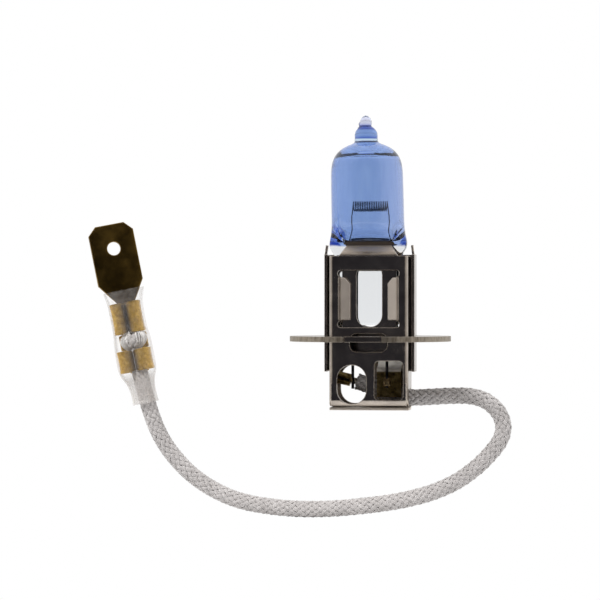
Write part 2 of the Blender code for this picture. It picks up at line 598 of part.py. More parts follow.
def glass_sections():
    """Height, half width, half depth and squareness of the glass, from the pinch up to the tip."""
    pinch, flare, full = PINCH_WIDTH / 2, FLARE_WIDTH / 2, GLASS_RADIUS
    thin = PINCH_THICKNESS / 2
    rise = (SHOULDER_TOP - PINCH_TOP) / 4
    sections = [
        (PINCH_BOTTOM, pinch - PINCH_EDGE, thin - PINCH_EDGE, 8),
        (PINCH_BOTTOM + PINCH_EDGE, pinch, thin, 8),
        (SHELL_TOP + GAP, pinch, thin, 8),
        ((SHELL_TOP + PINCH_TOP) / 2, flare - PINCH_EDGE, thin, 7),
        (PINCH_TOP, flare, thin * 1.09, 5),
        (PINCH_TOP + rise, flare - PINCH_EDGE, thin + (full - thin) * 0.2, 3.4),
        (PINCH_TOP + rise * 2, (flare + full) / 2, thin + (full - thin) * 0.59, 2.5),
        (PINCH_TOP + rise * 3, full * 1.01, thin + (full - thin) * 0.87, 2.1),
        (SHOULDER_TOP, full, full, 2),
        ((SHOULDER_TOP + DOME_START) / 2, full, full, 2),
        (DOME_START, full, full, 2),
    ]
    last = math.acos(NECK_RADIUS / full)
    for step in range(1, DOME_STEPS + 1):
        angle = last * step / DOME_STEPS
        radius = full * math.cos(angle)
        sections.append((DOME_START + DOME_HEIGHT * math.sin(angle), radius, radius, 2))
    neck = sections[-1][0]
    for height, share in EXHAUST_TIP:
        sections.append((neck + height * MM, NECK_RADIUS * share, NECK_RADIUS * share, 2))
    return sections


def glass_bulb():
    """Pressed pinch, flared shoulder, round envelope and sealed exhaust tip, hollow inside."""
    rings = [oval_ring(u, v, squareness, GLASS_SIDES, lambda a, b, h=height: Vector((a, b, h)))
             for height, u, v, squareness in glass_sections()]
    mesh = loft(rings)
    mesh.transform(LEAN)
    piece = finish(mesh, "glass_bulb", COATED_GLASS, 50)
    hollow = cavity()
    for side in (-1, 1):
        outline = rounded_rectangle((side * FEED_SPACING / 2, 0), FEED_CHANNEL_WIDTH, FEED_CHANNEL_DEPTH,
                                    FEED_CHANNEL_DEPTH * 0.3, 2)
        top = (HOLLOW_BOTTOM + SHOULDER_TOP) / 2 + FOIL_WIDTH
        channel = extruded([outline], PINCH_BOTTOM - SHEET, top, "XY")
        combine(hollow, helper(channel, f"feed_channel_{side}"), "UNION")
    turned = bpy.data.meshes.new_from_object(hollow.evaluated_get(bpy.context.evaluated_depsgraph_get()))
    turned.transform(LEAN)
    combine(piece, helper(turned, "glass_hollow"), "DIFFERENCE")


def cavity():
    """Turned hollow of the envelope; its profile runs down the outer side, top to bottom."""
    radius = GLASS_RADIUS - GLASS_WALL
    floor = SHOULDER_TOP - HOLLOW_BOTTOM
    profile = [(0.0, DOME_START + CEILING_HEIGHT)]
    profile += [(radius * math.sin(math.radians(a)), DOME_START + CEILING_HEIGHT * math.cos(math.radians(a)))
                for a in (22, 45, 68, 90)]
    profile += [(radius, SHOULDER_TOP + floor * 0.2), (radius * 0.82, SHOULDER_TOP - floor * 0.37),
                (radius * 0.45, HOLLOW_BOTTOM + floor * 0.1), (0.0, HOLLOW_BOTTOM)]
    mesh = bpy.data.meshes.new("cavity_profile")
    mesh.from_pydata([(a, 0, b) for a, b in profile], [(i, i + 1) for i in range(len(profile) - 1)], [])
    shape = helper(mesh, "cavity")
    turn = shape.modifiers.new("turn", "SCREW")
    turn.steps = HOLLOW_SIDES
    turn.render_steps = HOLLOW_SIDES
    turn.merge_threshold = WELD
    turn.use_merge_vertices = True
    return shape


def filament():
    """Transverse coil with its two straight legs down into the pinch, one wire throughout."""
    radius = (COIL_DIAMETER - FILAMENT_WIRE) / 2
    coil = []
    count = COIL_TURNS * COIL_POINTS_PER_TURN
    for i in range(count + 1):
        angle = 2 * math.pi * i / COIL_POINTS_PER_TURN
        x = -COIL_LENGTH / 2 + COIL_LENGTH * i / count
        coil.append((x, radius * math.cos(angle), FILAMENT_HEIGHT + radius * math.sin(angle)))
    foot = FEED_SPACING / 2 + LEG_SPLAY
    left = [(-foot, 0, FILAMENT_FOOT), (-foot, 0, HOLLOW_BOTTOM),
            (-(foot + COIL_LENGTH / 2) / 2, radius * 0.8, FILAMENT_HEIGHT - 2 * radius)]
    right = [(-x, y, z) for x, y, z in left[::-1]]
    finish(wire(left + coil + right, FILAMENT_WIRE, 0), "filament", TUNGSTEN)


def feed_throughs():
    """On each side: foil across the seal, and the lead-out wire below it."""
    overlap = LEAD_OUT_WIRE / 4
    below = PINCH_BOTTOM - LEAD_OUT_WIRE * 1.5
    for name, side in (("live", -1), ("ground", 1)):
        centre = side * FEED_SPACING / 2
        outline = rounded_rectangle((centre, (FOIL_TOP + FOIL_BOTTOM) / 2), FOIL_WIDTH, FOIL_TOP - FOIL_BOTTOM,
                                    FOIL_WIDTH * 0.2, 2)
        finish(extruded([outline], -FOIL_THICKNESS / 2, FOIL_THICKNESS / 2, "XZ"), f"foil_{name}", FOIL)
        start = (centre, 0, FOIL_BOTTOM - overlap)
        straight = (centre, 0, below)
        if side < 0:
            depth = LEAD_PLANE - CONDUCTOR_DIAMETER / 2 - GAP - LEAD_OUT_WIRE / 2
            low = LEAD_EXIT_HEIGHT + LEAD_DIAMETER / 2 + GAP
        else:
            depth = STRAP_FACE - CLIP_SHEET / 2 - GAP - LEAD_OUT_WIRE / 2
            low = STRAP_BOTTOM + CLIP_SHEET * 5
        drop = below - STRAP_TOP
        rest = [(centre, depth * 0.3, below - drop * 0.36), (centre, depth * 0.65, below - drop * 0.74),
                (centre, depth, STRAP_TOP - LEAD_OUT_WIRE), (centre, depth, low)]
        finish(wire([start, straight, *rest], LEAD_OUT_WIRE, 1), f"lead_out_{name}", FOIL, 60)


# ---------------------------------------------------------------- lead and terminal

def route_points():
    start = Vector((LEAD_START, LEAD_PLANE, LEAD_EXIT_HEIGHT + LEAD_RISE))
    return [start, *[Vector((x * MM, LEAD_PLANE, LEAD_EXIT_HEIGHT + z * MM)) for x, z in CORD_ROUTE]]


def terminal_place(u, v, w):
    """A point of the terminal's own frame in the object's frame."""
    across = math.cos(TERMINAL_LEAN), math.sin(TERMINAL_LEAN)
    x = TERMINAL_BASE[0] + u * across[0] - w * across[1]
    z = TERMINAL_BASE[1] + u * across[1] + w * across[0]
    return Vector((x, LEAD_PLANE + v, z))


TERMINAL_MATRIX = (Matrix.Translation((TERMINAL_BASE[0], LEAD_PLANE, TERMINAL_BASE[1]))
                   @ Matrix.Rotation(-TERMINAL_LEAN, 4, "Y"))


def supply_lead():
    """Braided sleeve round the stranded conductor, which runs on into the ferrule and the terminal."""
    route = route_points()
    braid_route = smooth_route([*route, terminal_place(0, 0, BRAID_END)], LEAD_STEP)
    braid = finish(wire(braid_route, LEAD_DIAMETER, 2), "lead_braid", BRAID, 60)
    outward = (braid_route[0] - braid_route[1]).normalized() * LEAD_DIAMETER
    onward = (braid_route[-1] - braid_route[-2]).normalized() * LEAD_DIAMETER
    bore_route = [braid_route[0] + outward, *braid_route, braid_route[-1] + onward]
    combine(braid, helper(wire(bore_route, LEAD_BORE, 2), "braid_bore"), "DIFFERENCE")
    tilt = Vector((-math.cos(FERRULE_TILT), 0, math.sin(FERRULE_TILT)))
    ferrule_middle = Vector((FERRULE_CENTRE[0], LEAD_PLANE, FERRULE_CENTRE[1]))
    inner_end = ferrule_middle + tilt * (FERRULE_LENGTH * 0.35)
    core_route = [inner_end, ferrule_middle, *braid_route, terminal_place(0, 0, CONDUCTOR_END)]
    finish(wire(core_route, CONDUCTOR_DIAMETER, 2), "lead_conductor", COPPER, 60)


def live_ferrule():
    """Open bronze ring folded round the bared conductor, where the live wire is welded."""
    radius = (FERRULE_WIDTH - FERRULE_SHEET) / 2
    opening = math.degrees(FERRULE_GAP / 2 / radius)
    path = [Vector(point) for point in arc((0, 0), radius, 180 + opening, 540 - opening, 20)]
    mesh = extruded([strip_outline(path, FERRULE_SHEET)], -FERRULE_LENGTH / 2, FERRULE_LENGTH / 2, "YZ")
    turn = Matrix.Rotation(FERRULE_TILT, 4, "Y")
    mesh.transform(Matrix.Translation((FERRULE_CENTRE[0], LEAD_PLANE, FERRULE_CENTRE[1])) @ turn)
    finish(mesh, "live_ferrule", BRONZE, 40)


def crimp(span, half_width, front, name):
    """Two wings folded up from the strip and over to meet on the centre line."""
    meet = CRIMP_SHEET / 2 + GAP
    side = half_width
    half = [(side * 0.4, BLADE_PLANE), (side, BLADE_PLANE - CRIMP_ROLL), (side, front + CRIMP_SHOULDER),
            (side * 0.55, front), (meet, front + CRIMP_ROLL)]
    corners = [(-u, v) for u, v in half[::-1]] + half
    path = rounded_path(corners, CRIMP_CORNER, 3)
    mesh = extruded([strip_outline(path, CRIMP_SHEET)], span[1], span[0], "XY")
    return helper(mesh, name)


def spade_terminal():
    """Brass blade, neck, strip and the two crimps, all one folded sheet."""
    half = BLADE_WIDTH / 2
    cut = BLADE_CHAMFER
    neck = NECK_HALF_WIDTH
    right = [(STRIP_WIDTH / 2, WIRE_CRIMP[0] - GAP), (neck - GAP, -GAP), (neck, GAP), (half, cut),
             (half, BLADE_LENGTH - cut), (half - cut, BLADE_LENGTH)]
    blade = right + [(-u, w) for u, w in right[::-1]]
    hole = arc((0, BLADE_HOLE_HEIGHT), BLADE_HOLE / 2, 0, 360, 24)[:-1]
    thick = (BLADE_PLANE - BLADE_THICKNESS / 2, BLADE_PLANE + BLADE_THICKNESS / 2)
    mesh = extruded([blade, hole[::-1]], *thick, "XZ")
    mesh.transform(TERMINAL_MATRIX)
    piece = finish(mesh, "spade_terminal", BRASS, 40)
    top, bottom = WIRE_CRIMP[0] + CRIMP_SHEET, GRIP_CRIMP[1] + GAP
    thin, narrow = CRIMP_SHEET * 0.48, STRIP_WIDTH * 0.48
    strip = [(-narrow, top), (-narrow, bottom), (narrow, bottom), (narrow, top)]
    floor = helper(extruded([strip], BLADE_PLANE - thin, BLADE_PLANE + thin, "XZ"), "strip")
    wings = (crimp(WIRE_CRIMP, WIRE_CRIMP_HALF_WIDTH, WIRE_CRIMP_FRONT, "wire_crimp"),
             crimp(GRIP_CRIMP, GRIP_CRIMP_HALF_WIDTH, GRIP_CRIMP_FRONT, "grip_crimp"))
    floor.data.transform(TERMINAL_MATRIX)
    combine(piece, floor, "UNION")
    for shape in wings:
        shape.data.transform(TERMINAL_MATRIX)
        combine(piece, shape, "UNION")


def terminal_sleeve():
    """Clear sleeve over the neck, both crimps and the first of the braid, open at both ends."""
    back = BLADE_PLANE + CRIMP_SHEET / 2 + SLEEVE_ROOM + SLEEVE_WALL
    around = CRIMP_SHEET / 2 + SLEEVE_ROOM + SLEEVE_WALL
    wire_half, grip_half = WIRE_CRIMP_HALF_WIDTH + around, GRIP_CRIMP_HALF_WIDTH + around
    wire_front, grip_front = -WIRE_CRIMP_FRONT + around, -GRIP_CRIMP_FRONT + around
    blade_back = BLADE_PLANE + BLADE_THICKNESS / 2 + SLEEVE_MOUTH + SLEEVE_WALL
    lead_half = LEAD_DIAMETER / 2 + SLEEVE_MOUTH + SLEEVE_WALL
    mouth = NECK_HALF_WIDTH + SLEEVE_MOUTH
    low = GRIP_CRIMP[1] - SLEEVE_ROOM
    end = GRIP_CRIMP[1] - SLEEVE_TAIL
    sections = [                     # w, half width, reach to the front, reach to the back, squareness
        (0.0, mouth, wire_front * 0.25, blade_back, 5.0),
        (WIRE_CRIMP[0] * 0.6, (mouth + wire_half) / 2, wire_front * 0.65, blade_back, 4.0),
        (WIRE_CRIMP[0] - GAP, wire_half, wire_front, back, 4.0), (WIRE_CRIMP[1], wire_half, wire_front, back, 4.0),
        ((WIRE_CRIMP[1] + GRIP_CRIMP[0]) / 2, (wire_half + grip_half) / 2, grip_front, back, 3.6),
        (GRIP_CRIMP[0] + GAP, grip_half, grip_front, back, 3.6), (low, grip_half, grip_front, back, 3.4),
        (low - (low - end) * 0.32, lead_half * 1.15, lead_half * 1.08, lead_half * 1.08, 2.6),
        (low - (low - end) * 0.7, lead_half, lead_half, lead_half, 2.2),
        (end, lead_half * 1.06, lead_half * 1.02, lead_half * 1.02, 2.0),
    ]
    shells = []
    for shrink, extra in ((0.0, 0.0), (SLEEVE_WALL, SLEEVE_ROOM)):
        rings = []
        for i, (w, half_u, front, rear, squareness) in enumerate(sections):
            height = w + (extra if i == 0 else -extra if i == len(sections) - 1 else 0)
            middle, half_v = (rear - front) / 2, (rear + front) / 2
            rings.append(oval_ring(half_u - shrink, half_v - shrink, squareness, SLEEVE_SIDES,
                                   lambda a, b, h=height, c=middle: terminal_place(a, c + b, h)))
        shells.append(loft(rings))
    piece = finish(shells[0], "terminal_sleeve", CLEAR_PLASTIC, 50)
    combine(piece, helper(shells[1], "sleeve_bore"), "DIFFERENCE")


front_shell()
rear_shell()
flange()
clip_plates()
ground_strap()
glass_bulb()
filament()
feed_throughs()
supply_lead()
live_ferrule()
spade_terminal()
terminal_sleeve()
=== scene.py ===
"""A headlight bulb: blue-coated glass, nickel-plated base and a braided lead with a brass blade."""
import math
import random

import bmesh
import bpy
from mathutils import Matrix, Vector


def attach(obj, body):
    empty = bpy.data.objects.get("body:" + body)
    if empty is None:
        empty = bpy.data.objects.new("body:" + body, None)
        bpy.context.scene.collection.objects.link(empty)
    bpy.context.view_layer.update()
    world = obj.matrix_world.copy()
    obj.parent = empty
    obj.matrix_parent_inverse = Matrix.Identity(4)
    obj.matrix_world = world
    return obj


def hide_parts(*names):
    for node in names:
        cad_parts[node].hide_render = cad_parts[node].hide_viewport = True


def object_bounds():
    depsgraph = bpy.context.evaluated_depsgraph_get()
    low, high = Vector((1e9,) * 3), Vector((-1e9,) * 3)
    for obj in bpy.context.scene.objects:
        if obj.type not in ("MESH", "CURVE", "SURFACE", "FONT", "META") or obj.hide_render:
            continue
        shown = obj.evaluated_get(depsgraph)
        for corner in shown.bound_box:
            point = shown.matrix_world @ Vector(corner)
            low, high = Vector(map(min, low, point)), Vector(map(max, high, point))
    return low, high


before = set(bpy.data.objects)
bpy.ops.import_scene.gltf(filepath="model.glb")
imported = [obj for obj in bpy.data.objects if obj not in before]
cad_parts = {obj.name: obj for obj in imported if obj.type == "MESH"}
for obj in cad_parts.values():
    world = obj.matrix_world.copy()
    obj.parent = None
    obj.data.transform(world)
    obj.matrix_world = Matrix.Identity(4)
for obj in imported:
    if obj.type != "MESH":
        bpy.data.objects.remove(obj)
cad_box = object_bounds()

MM = 0.001
BODY = "root"
DICE = random.Random(7)

# ---------------------------------------------------------------- sizes, in metres

LEAD_PLANE = 0.7 * MM                # the lead lies in the plane y = LEAD_PLANE
BRAID_END = -6.35 * MM               # on the terminal's axis
TERMINAL_BASE = (-34.35 * MM, 6.28 * MM)
TERMINAL_LEAN = math.radians(11.4)
BLADE_PLANE = 1.45 * MM              # behind the lead's axis
CORD_ROUTE = [                       # x and z in mm, from the base to the terminal
    (-1.8, -6.25), (-0.4, -6.7), (1.4, -7.4), (3.4, -8.1), (5.6, -8.4), (8.2, -8.3), (11.0, -8.15),
    (13.6, -8.2), (15.7, -8.8), (17.4, -10.3), (18.1, -12.2), (17.7, -14.1), (16.4, -15.9),
    (14.4, -17.9), (11.6, -19.9), (8.2, -21.4), (4.0, -22.5), (-0.6, -23.2), (-5.2, -23.65),
    (-9.6, -23.75), (-13.8, -23.45), (-17.8, -22.75), (-21.3, -21.4), (-24.6, -19.3), (-27.3, -16.6),
    (-29.2, -13.8), (-30.5, -10.7), (-31.4, -7.6), (-32.2, -4.4),
]
GLASS_LEAN = math.radians(1.2)
COIL_HEIGHT = 17.7 * MM              # it sags a little below the nominal 18
TERMINAL_MATRIX = (Matrix.Translation((TERMINAL_BASE[0], LEAD_PLANE, TERMINAL_BASE[1]))
                   @ Matrix.Rotation(-TERMINAL_LEAN, 4, "Y"))
ALONG_TERMINAL = (-math.sin(TERMINAL_LEAN), 0, math.cos(TERMINAL_LEAN))
ACROSS_TERMINAL = (math.cos(TERMINAL_LEAN), 0, math.sin(TERMINAL_LEAN))
CRIMP_SET = -0.25 * MM               # crimps and sleeve sit this far to the side of the lead's axis
BLADE_SET = -0.5 * MM                # and the blade this far
BLADE_TWIST = math.radians(17)       # the blade is turned this much on its neck
FLOOR_GAP = 0.15 * MM                # between the lowest stretch of the lead and the floor
MERGE = 0.0005 * MM                  # corners closer than this are one
ROUND_UP_TO = math.radians(60)       # edges bent less than this are shaded round


# ---------------------------------------------------------------- camera, light and floor

CAMERA_AZIMUTH = math.radians(7.3)
CAMERA_DISTANCE = 0.40
SENSOR_WIDTH = 36.0
CAMERA_NEAR = 0.01
VIEW_WIDTH = 81.9 * MM
VIEW_CENTRE = (-9.6 * MM, 4.9 * MM)  # across the view and up, from the bulb's axis at the flange


def add_camera():
    """Level, from a little to the right of the front, with a long lens."""
    lens = SENSOR_WIDTH * CAMERA_DISTANCE / VIEW_WIDTH
    bpy.ops.object.camera_add(rotation=(math.radians(90), 0, CAMERA_AZIMUTH))
    camera = bpy.context.object
    camera.data.lens = lens
    camera.data.sensor_width = SENSOR_WIDTH
    camera.data.clip_start = CAMERA_NEAR
    right = Vector((math.cos(CAMERA_AZIMUTH), math.sin(CAMERA_AZIMUTH), 0))
    back = Vector((math.sin(CAMERA_AZIMUTH), -math.cos(CAMERA_AZIMUTH), 0))
    centre = right * VIEW_CENTRE[0] + Vector((0, 0, VIEW_CENTRE[1]))
    camera.location = centre + back * CAMERA_DISTANCE
    bpy.context.scene.camera = camera


def add_area_light(name, place, target, size, power):
    """A square lamp aimed at a point, which lights the pieces but is not mirrored in them."""
    bpy.ops.object.light_add(type="AREA", location=place)
    lamp = bpy.context.object
    lamp.name = name
    lamp.data.shape = "RECTANGLE"
    lamp.data.size, lamp.data.size_y = size
    lamp.data.energy = power
    lamp.visible_glossy = False
    lamp.visible_transmission = False
    lamp.rotation_euler = (Vector(target) - Vector(place)).to_track_quat("-Z", "Y").to_euler()


NODES = {                            # type, inputs in the order they are given, output, settings
    "place": ("TexCoord", (), "Object", {}),
    "direction": ("TexCoord", (), "Generated", {}),
    "normal": ("NewGeometry", (), "Normal", {}),
    "rounded": ("Bevel", ("Radius",), "Normal", {"samples": 6}),
    "facing": ("LayerWeight", ("Blend",), "Facing", {}),
    "camera ray": ("LightPath", (), "Is Camera Ray", {}),
    "yarn map": ("UVMap", (), "UV", {"uv_map": "yarn"}),
    "split": ("SeparateXYZ", ("Vector",), None, {}),
    "join": ("CombineXYZ", ("X", "Y"), "Vector", {}),
    "stretch": ("Mapping", ("Vector", "Scale"), "Vector", {}),
    "turn": ("Mapping", ("Vector", "Rotation"), "Vector", {}),
    "noise": ("TexNoise", ("Vector", "Scale", "Detail", "Roughness"), "Fac", {}),
    "waves": ("TexWave", ("Vector", "Scale", "Distortion"), "Fac", {}),
    "range": ("MapRange", ("Value", "From Min", "From Max", "To Min", "To Max"), "Result", {}),
    "ramp": ("ValToRGB", ("Fac",), "Color", {}),
    "mix": ("Mix", ("Factor_Float", "A_Color", "B_Color"), "Result_Color", {"data_type": "RGBA"}),
    "bump": ("Bump", ("Height", "Distance", "Strength", "Normal"), "Normal", {}),
    "size": ("Math", (0,), "Value", {"operation": "ABSOLUTE"}),
    "add": ("Math", (0, 1), "Value", {"operation": "ADD"}),
    "less": ("Math", (0, 1), "Value", {"operation": "SUBTRACT"}),
    "times": ("Math", (0, 1), "Value", {"operation": "MULTIPLY"}),
    "larger": ("Math", (0, 1), "Value", {"operation": "MAXIMUM"}),
    "moved": ("VectorMath", (0, 1), "Vector", {"operation": "SUBTRACT"}),
    "along": ("VectorMath", (0, 1), "Value", {"operation": "DOT_PRODUCT"}),
    "length": ("VectorMath", (0,), "Value", {"operation": "LENGTH"}),
    "sky": ("Background", ("Color",), "Background", {}),
    "world": ("OutputWorld", ("Surface",), None, {}),
}


def add_node(tree, kind, *given, stops=()):
    """A node from the table with its settings and links; stops are a ramp's (position, hex) pairs."""
    node_type, inputs, out, settings = NODES[kind]
    made = tree.nodes.new("ShaderNode" + node_type)
    for name, value in settings.items():
        setattr(made, name, value)
    for label, value in zip(inputs, given):
        socket = made.inputs[label] if isinstance(label, int) else next(
            s for s in made.inputs if label in (s.name, s.identifier))
        if isinstance(value, bpy.types.NodeSocket):
            tree.links.new(value, socket)
        else:
            socket.default_value = srgb(value) if socket.type == "RGBA" else value
    for _ in stops[2:]:
        made.color_ramp.elements.new(0.5)
    for i, (position, code) in enumerate(stops):
        mark = made.color_ramp.elements[i]
        mark.position, mark.color = position, srgb(code)
    return made.outputs if out is None else next(s for s in made.outputs if out in (s.name, s.identifier))


def srgb(code):
    """A colour written as an sRGB hex value, as linear red, green, blue and a full alpha."""
    channels = [((code >> shift) & 255) / 255 for shift in (16, 8, 0)]
    return (*[c / 12.92 if c <= 0.04045 else ((c + 0.055) / 1.055) ** 2.4 for c in channels], 1.0)


def light_the_studio():
    """White tent with a dark gap on the lens side, which is what bare metal mirrors from the front."""
    world = bpy.data.worlds.new("studio")
    bpy.context.scene.world = world
    world.use_nodes = True
    tree = world.node_tree
    tree.nodes.clear()
    look_to = add_node(tree, "split", add_node(tree, "direction"))
    depth = add_node(tree, "range", look_to["Y"], -1.0, 1.0, 0.0, 1.0)
    tent = add_node(tree, "ramp", depth, stops=[(0.0, 0x3E3E44), (0.07, 0x3E3E44), (0.13, 0x6E6A68),
                                                (0.22, 0xC4BEB8), (0.38, 0xE8E5E2), (0.6, 0xFFFFFF)])
    low = add_node(tree, "range", look_to["Z"], -0.6, 0.5, 0.72, 1.0)
    tent = add_node(tree, "mix", low, 0x000000, tent)
    seen = add_node(tree, "camera ray")
    sky = add_node(tree, "sky", add_node(tree, "mix", seen, tent, 0xFFFFFF))
    add_node(tree, "world", sky)
    add_area_light("key", (-0.20, -0.26, 0.36), (-0.01, 0, 0), (0.16, 0.16), 2.0)
    add_area_light("fill", (0.30, -0.20, 0.16), (0, 0, 0), (0.16, 0.16), 0.35)


def lay_floor():
    """White seamless floor just under the lowest stretch of the lead; it is pure white to the eye."""
    low = cad_box[0][2] - FLOOR_GAP
    bpy.ops.mesh.primitive_plane_add(size=1, location=(0, 0.255, low))
    floor = bpy.context.object
    floor.name = "floor"
    floor.scale = (1.0, 0.56, 1)
    bpy.ops.object.transform_apply(location=True, rotation=True, scale=True)
    look, tree, inputs = start_material("matt_white_paper")
    seen = add_node(tree, "camera ray")
    tree.links.new(add_node(tree, "mix", seen, 0xE6E6E6, 0x000000), inputs["Base Color"])
    inputs["Roughness"].default_value = 0.9
    inputs["Specular IOR Level"].default_value = 0.0
    inputs["Emission Color"].default_value = srgb(0xFFFFFF)
    tree.links.new(seen, inputs["Emission Strength"])
    floor.data.materials.append(look)


# ---------------------------------------------------------------- materials

def start_material(name):
    """A new material, its tree and the sockets of its surface shader."""
    look = bpy.data.materials.new(name)
    look.use_nodes = True
    tree = look.node_tree
    return look, tree, tree.nodes["Principled BSDF"].inputs


def per_mm(size):
    """Texture scale whose features are about size millimetres on Object coordinates in metres."""
    return 1 / (size * MM)


def soft_edges(tree, radius):
    """A normal that rounds sheared edges over a radius, and a mask that is 1 on them."""
    rounded = add_node(tree, "rounded", radius)
    agree = add_node(tree, "along", rounded, add_node(tree, "normal"))
    return rounded, add_node(tree, "range", agree, 0.985, 0.8, 0.0, 1.0)


def bent_inwards(tree, spot):
    """A mask that is 1 on the flaps and cut sides inside the window, which face across the bulb."""
    sideways = add_node(tree, "split", add_node(tree, "normal"))["X"]
    mask = 1.0
    for value, low, high in ((sideways, 0.35, 0.6), (spot["X"], 3.8 * MM, 3.72 * MM)):
        inside = add_node(tree, "range", add_node(tree, "size", value), low, high, 0.0, 1.0)
        mask = add_node(tree, "times", inside, mask)
    for low, high in ((1.7 * MM, 1.8 * MM), (9.0 * MM, 8.9 * MM)):
        inside = add_node(tree, "range", spot["Z"], low, high, 0.0, 1.0)
        mask = add_node(tree, "times", inside, mask)
    return mask


def nickel_plate():
    """Bright nickel over drawn steel: mirror-dark faces, painted highlights on the edges, foot, inward flaps
    and bent-back tongue, and a painted dark reflection at the very top.
    """
    look, tree, inputs = start_material("bright_nickel_plated_steel")
    place = add_node(tree, "place")
    spot = add_node(tree, "split", place)
    height = spot["Z"]
    # painted highlight: the flaps and cut sides inside the window are mixed to pale grey and made far less
    # metallic, so the lamps light them
    painted_flap_highlight = bent_inwards(tree, spot)
    rounded, edge = soft_edges(tree, 0.2 * MM)
    # the foot below -9.7 mm joins the edge mask, so it takes the same painted highlight
    edge = add_node(tree, "larger", edge, add_node(tree, "range", height, -9.75 * MM, -9.65 * MM, 1.0, 0.0))
    smudge = add_node(tree, "noise", place, per_mm(2.2), 4.0, 0.55)
    grain = add_node(tree, "noise", place, per_mm(0.12), 2.0, 0.55)
    face = add_node(tree, "ramp", smudge, stops=[(0.3, 0xA39A92), (0.55, 0xB9B0A6), (0.75, 0xCCC3B8)])
    # painted highlight: the edges and the foot are mixed to pale warm grey, standing in for light caught on
    # the rounded cut edges
    colour = add_node(tree, "mix", edge, face, 0xE6DDD2)
    colour = add_node(tree, "mix", painted_flap_highlight, colour, 0xE8E0D8)
    # painted highlight: the bent-back tongue above 11.25 mm is mixed to near white and roughened
    painted_tongue_highlight = add_node(tree, "range", height, 11.25 * MM, 11.6 * MM, 0.0, 1.0)
    colour = add_node(tree, "mix", painted_tongue_highlight, colour, 0xFFF4E6)
    # painted dark reflection: above 12.25 mm the plate is darkened to brown, standing in for the dark band
    # seen in the glass over the tongue
    painted_dark_reflection = add_node(tree, "range", height, 12.25 * MM, 12.4 * MM, 0.0, 0.92)
    tree.links.new(add_node(tree, "mix", painted_dark_reflection, colour, 0x564C44), inputs["Base Color"])
    polish = add_node(tree, "range", smudge, 0.35, 0.7, 0.13, 0.27)
    rough = add_node(tree, "add", polish, add_node(tree, "range", edge, 0.0, 1.0, 0.0, 0.45))
    rough = add_node(tree, "add", rough, add_node(tree, "range", painted_tongue_highlight, 0.0, 1.0, 0.0, 0.22))
    tree.links.new(rough, inputs["Roughness"])
    tree.links.new(add_node(tree, "bump", grain, 0.01 * MM, 0.12, rounded), inputs["Normal"])
    tree.links.new(add_node(tree, "range", painted_flap_highlight, 0.0, 1.0, 1.0, 0.3), inputs["Metallic"])
    return look


def flange_plate():
    """The same plate on the blanked disc, whose sheared rim is coarser and browner than its faces."""
    look, tree, inputs = start_material("nickel_plated_blanked_disc")
    rounded, edge = soft_edges(tree, 0.06 * MM)
    place = add_node(tree, "place")
    spot = add_node(tree, "split", place)
    away = add_node(tree, "length", add_node(tree, "join", spot["X"], spot["Y"]))
    rim = add_node(tree, "range", away, 10.80 * MM, 10.97 * MM, 0.0, 1.0)
    smudge = add_node(tree, "noise", place, per_mm(2.4), 4.0, 0.55)
    drawn = add_node(tree, "stretch", place, (1, 1, 0.25))
    tears = add_node(tree, "noise", drawn, per_mm(0.35), 4.0, 0.7)
    face = add_node(tree, "ramp", smudge, stops=[(0.3, 0x8E867D), (0.7, 0xB5ABA0)])
    sheared = add_node(tree, "ramp", tears, stops=[(0.35, 0x857C70), (0.65, 0xB3AA9C)])
    colour = add_node(tree, "mix", rim, face, sheared)
    # painted highlight: the edges are mixed to pale warm grey, standing in for light caught on them
    tree.links.new(add_node(tree, "mix", edge, colour, 0xD2C8BB), inputs["Base Color"])
    tree.links.new(add_node(tree, "range", rim, 0.0, 1.0, 0.2, 0.5), inputs["Roughness"])
    tree.links.new(add_node(tree, "bump", tears, 0.03 * MM, 0.25, rounded), inputs["Normal"])
    inputs["Metallic"].default_value = 1.0
    return look


def heat_tinted_bronze():
    """Phosphor bronze strip heat-tinted by the weld, with a painted highlight along its bent top and its
    edges.
    """
    look, tree, inputs = start_material("heat_tinted_bronze_strip")
    rounded, edge = soft_edges(tree, 0.05 * MM)
    place = add_node(tree, "place")
    patches = add_node(tree, "noise", place, per_mm(0.8), 5.0, 0.65)
    colour = add_node(tree, "ramp", patches, stops=[(0.32, 0x3A2E1C), (0.5, 0x86703F), (0.66, 0xC4AE74)])
    height = add_node(tree, "split", place)["Z"]
    # painted highlight: above -4.95 mm the bent top is mixed to near white, made barely metallic and
    # roughened, standing in for the light it catches
    bright = add_node(tree, "range", height, -4.95 * MM, -4.7 * MM, 0.0, 1.0)
    colour = add_node(tree, "mix", bright, colour, 0xFFFAF0)
    # painted highlight along the edges, mixed to pale straw
    tree.links.new(add_node(tree, "mix", edge, colour, 0xC9B78C), inputs["Base Color"])
    tree.links.new(add_node(tree, "range", bright, 0.0, 1.0, 1.0, 0.1), inputs["Metallic"])
    burnt = add_node(tree, "range", patches, 0.3, 0.7, 0.42, 0.25)
    rough = add_node(tree, "add", burnt, add_node(tree, "range", bright, 0.0, 1.0, 0.0, 0.3))
    tree.links.new(rough, inputs["Roughness"])
    scale = add_node(tree, "noise", place, per_mm(0.35), 4.0, 0.55)
    tree.links.new(add_node(tree, "bump", scale, 0.06 * MM, 0.9, rounded), inputs["Normal"])
    return look


def on_terminal(tree, axis):
    """Distance along one direction of the leaning terminal, from its base."""
    base = (TERMINAL_BASE[0], LEAD_PLANE, TERMINAL_BASE[1])
    return add_node(tree, "along", add_node(tree, "moved", add_node(tree, "place"), base), axis)


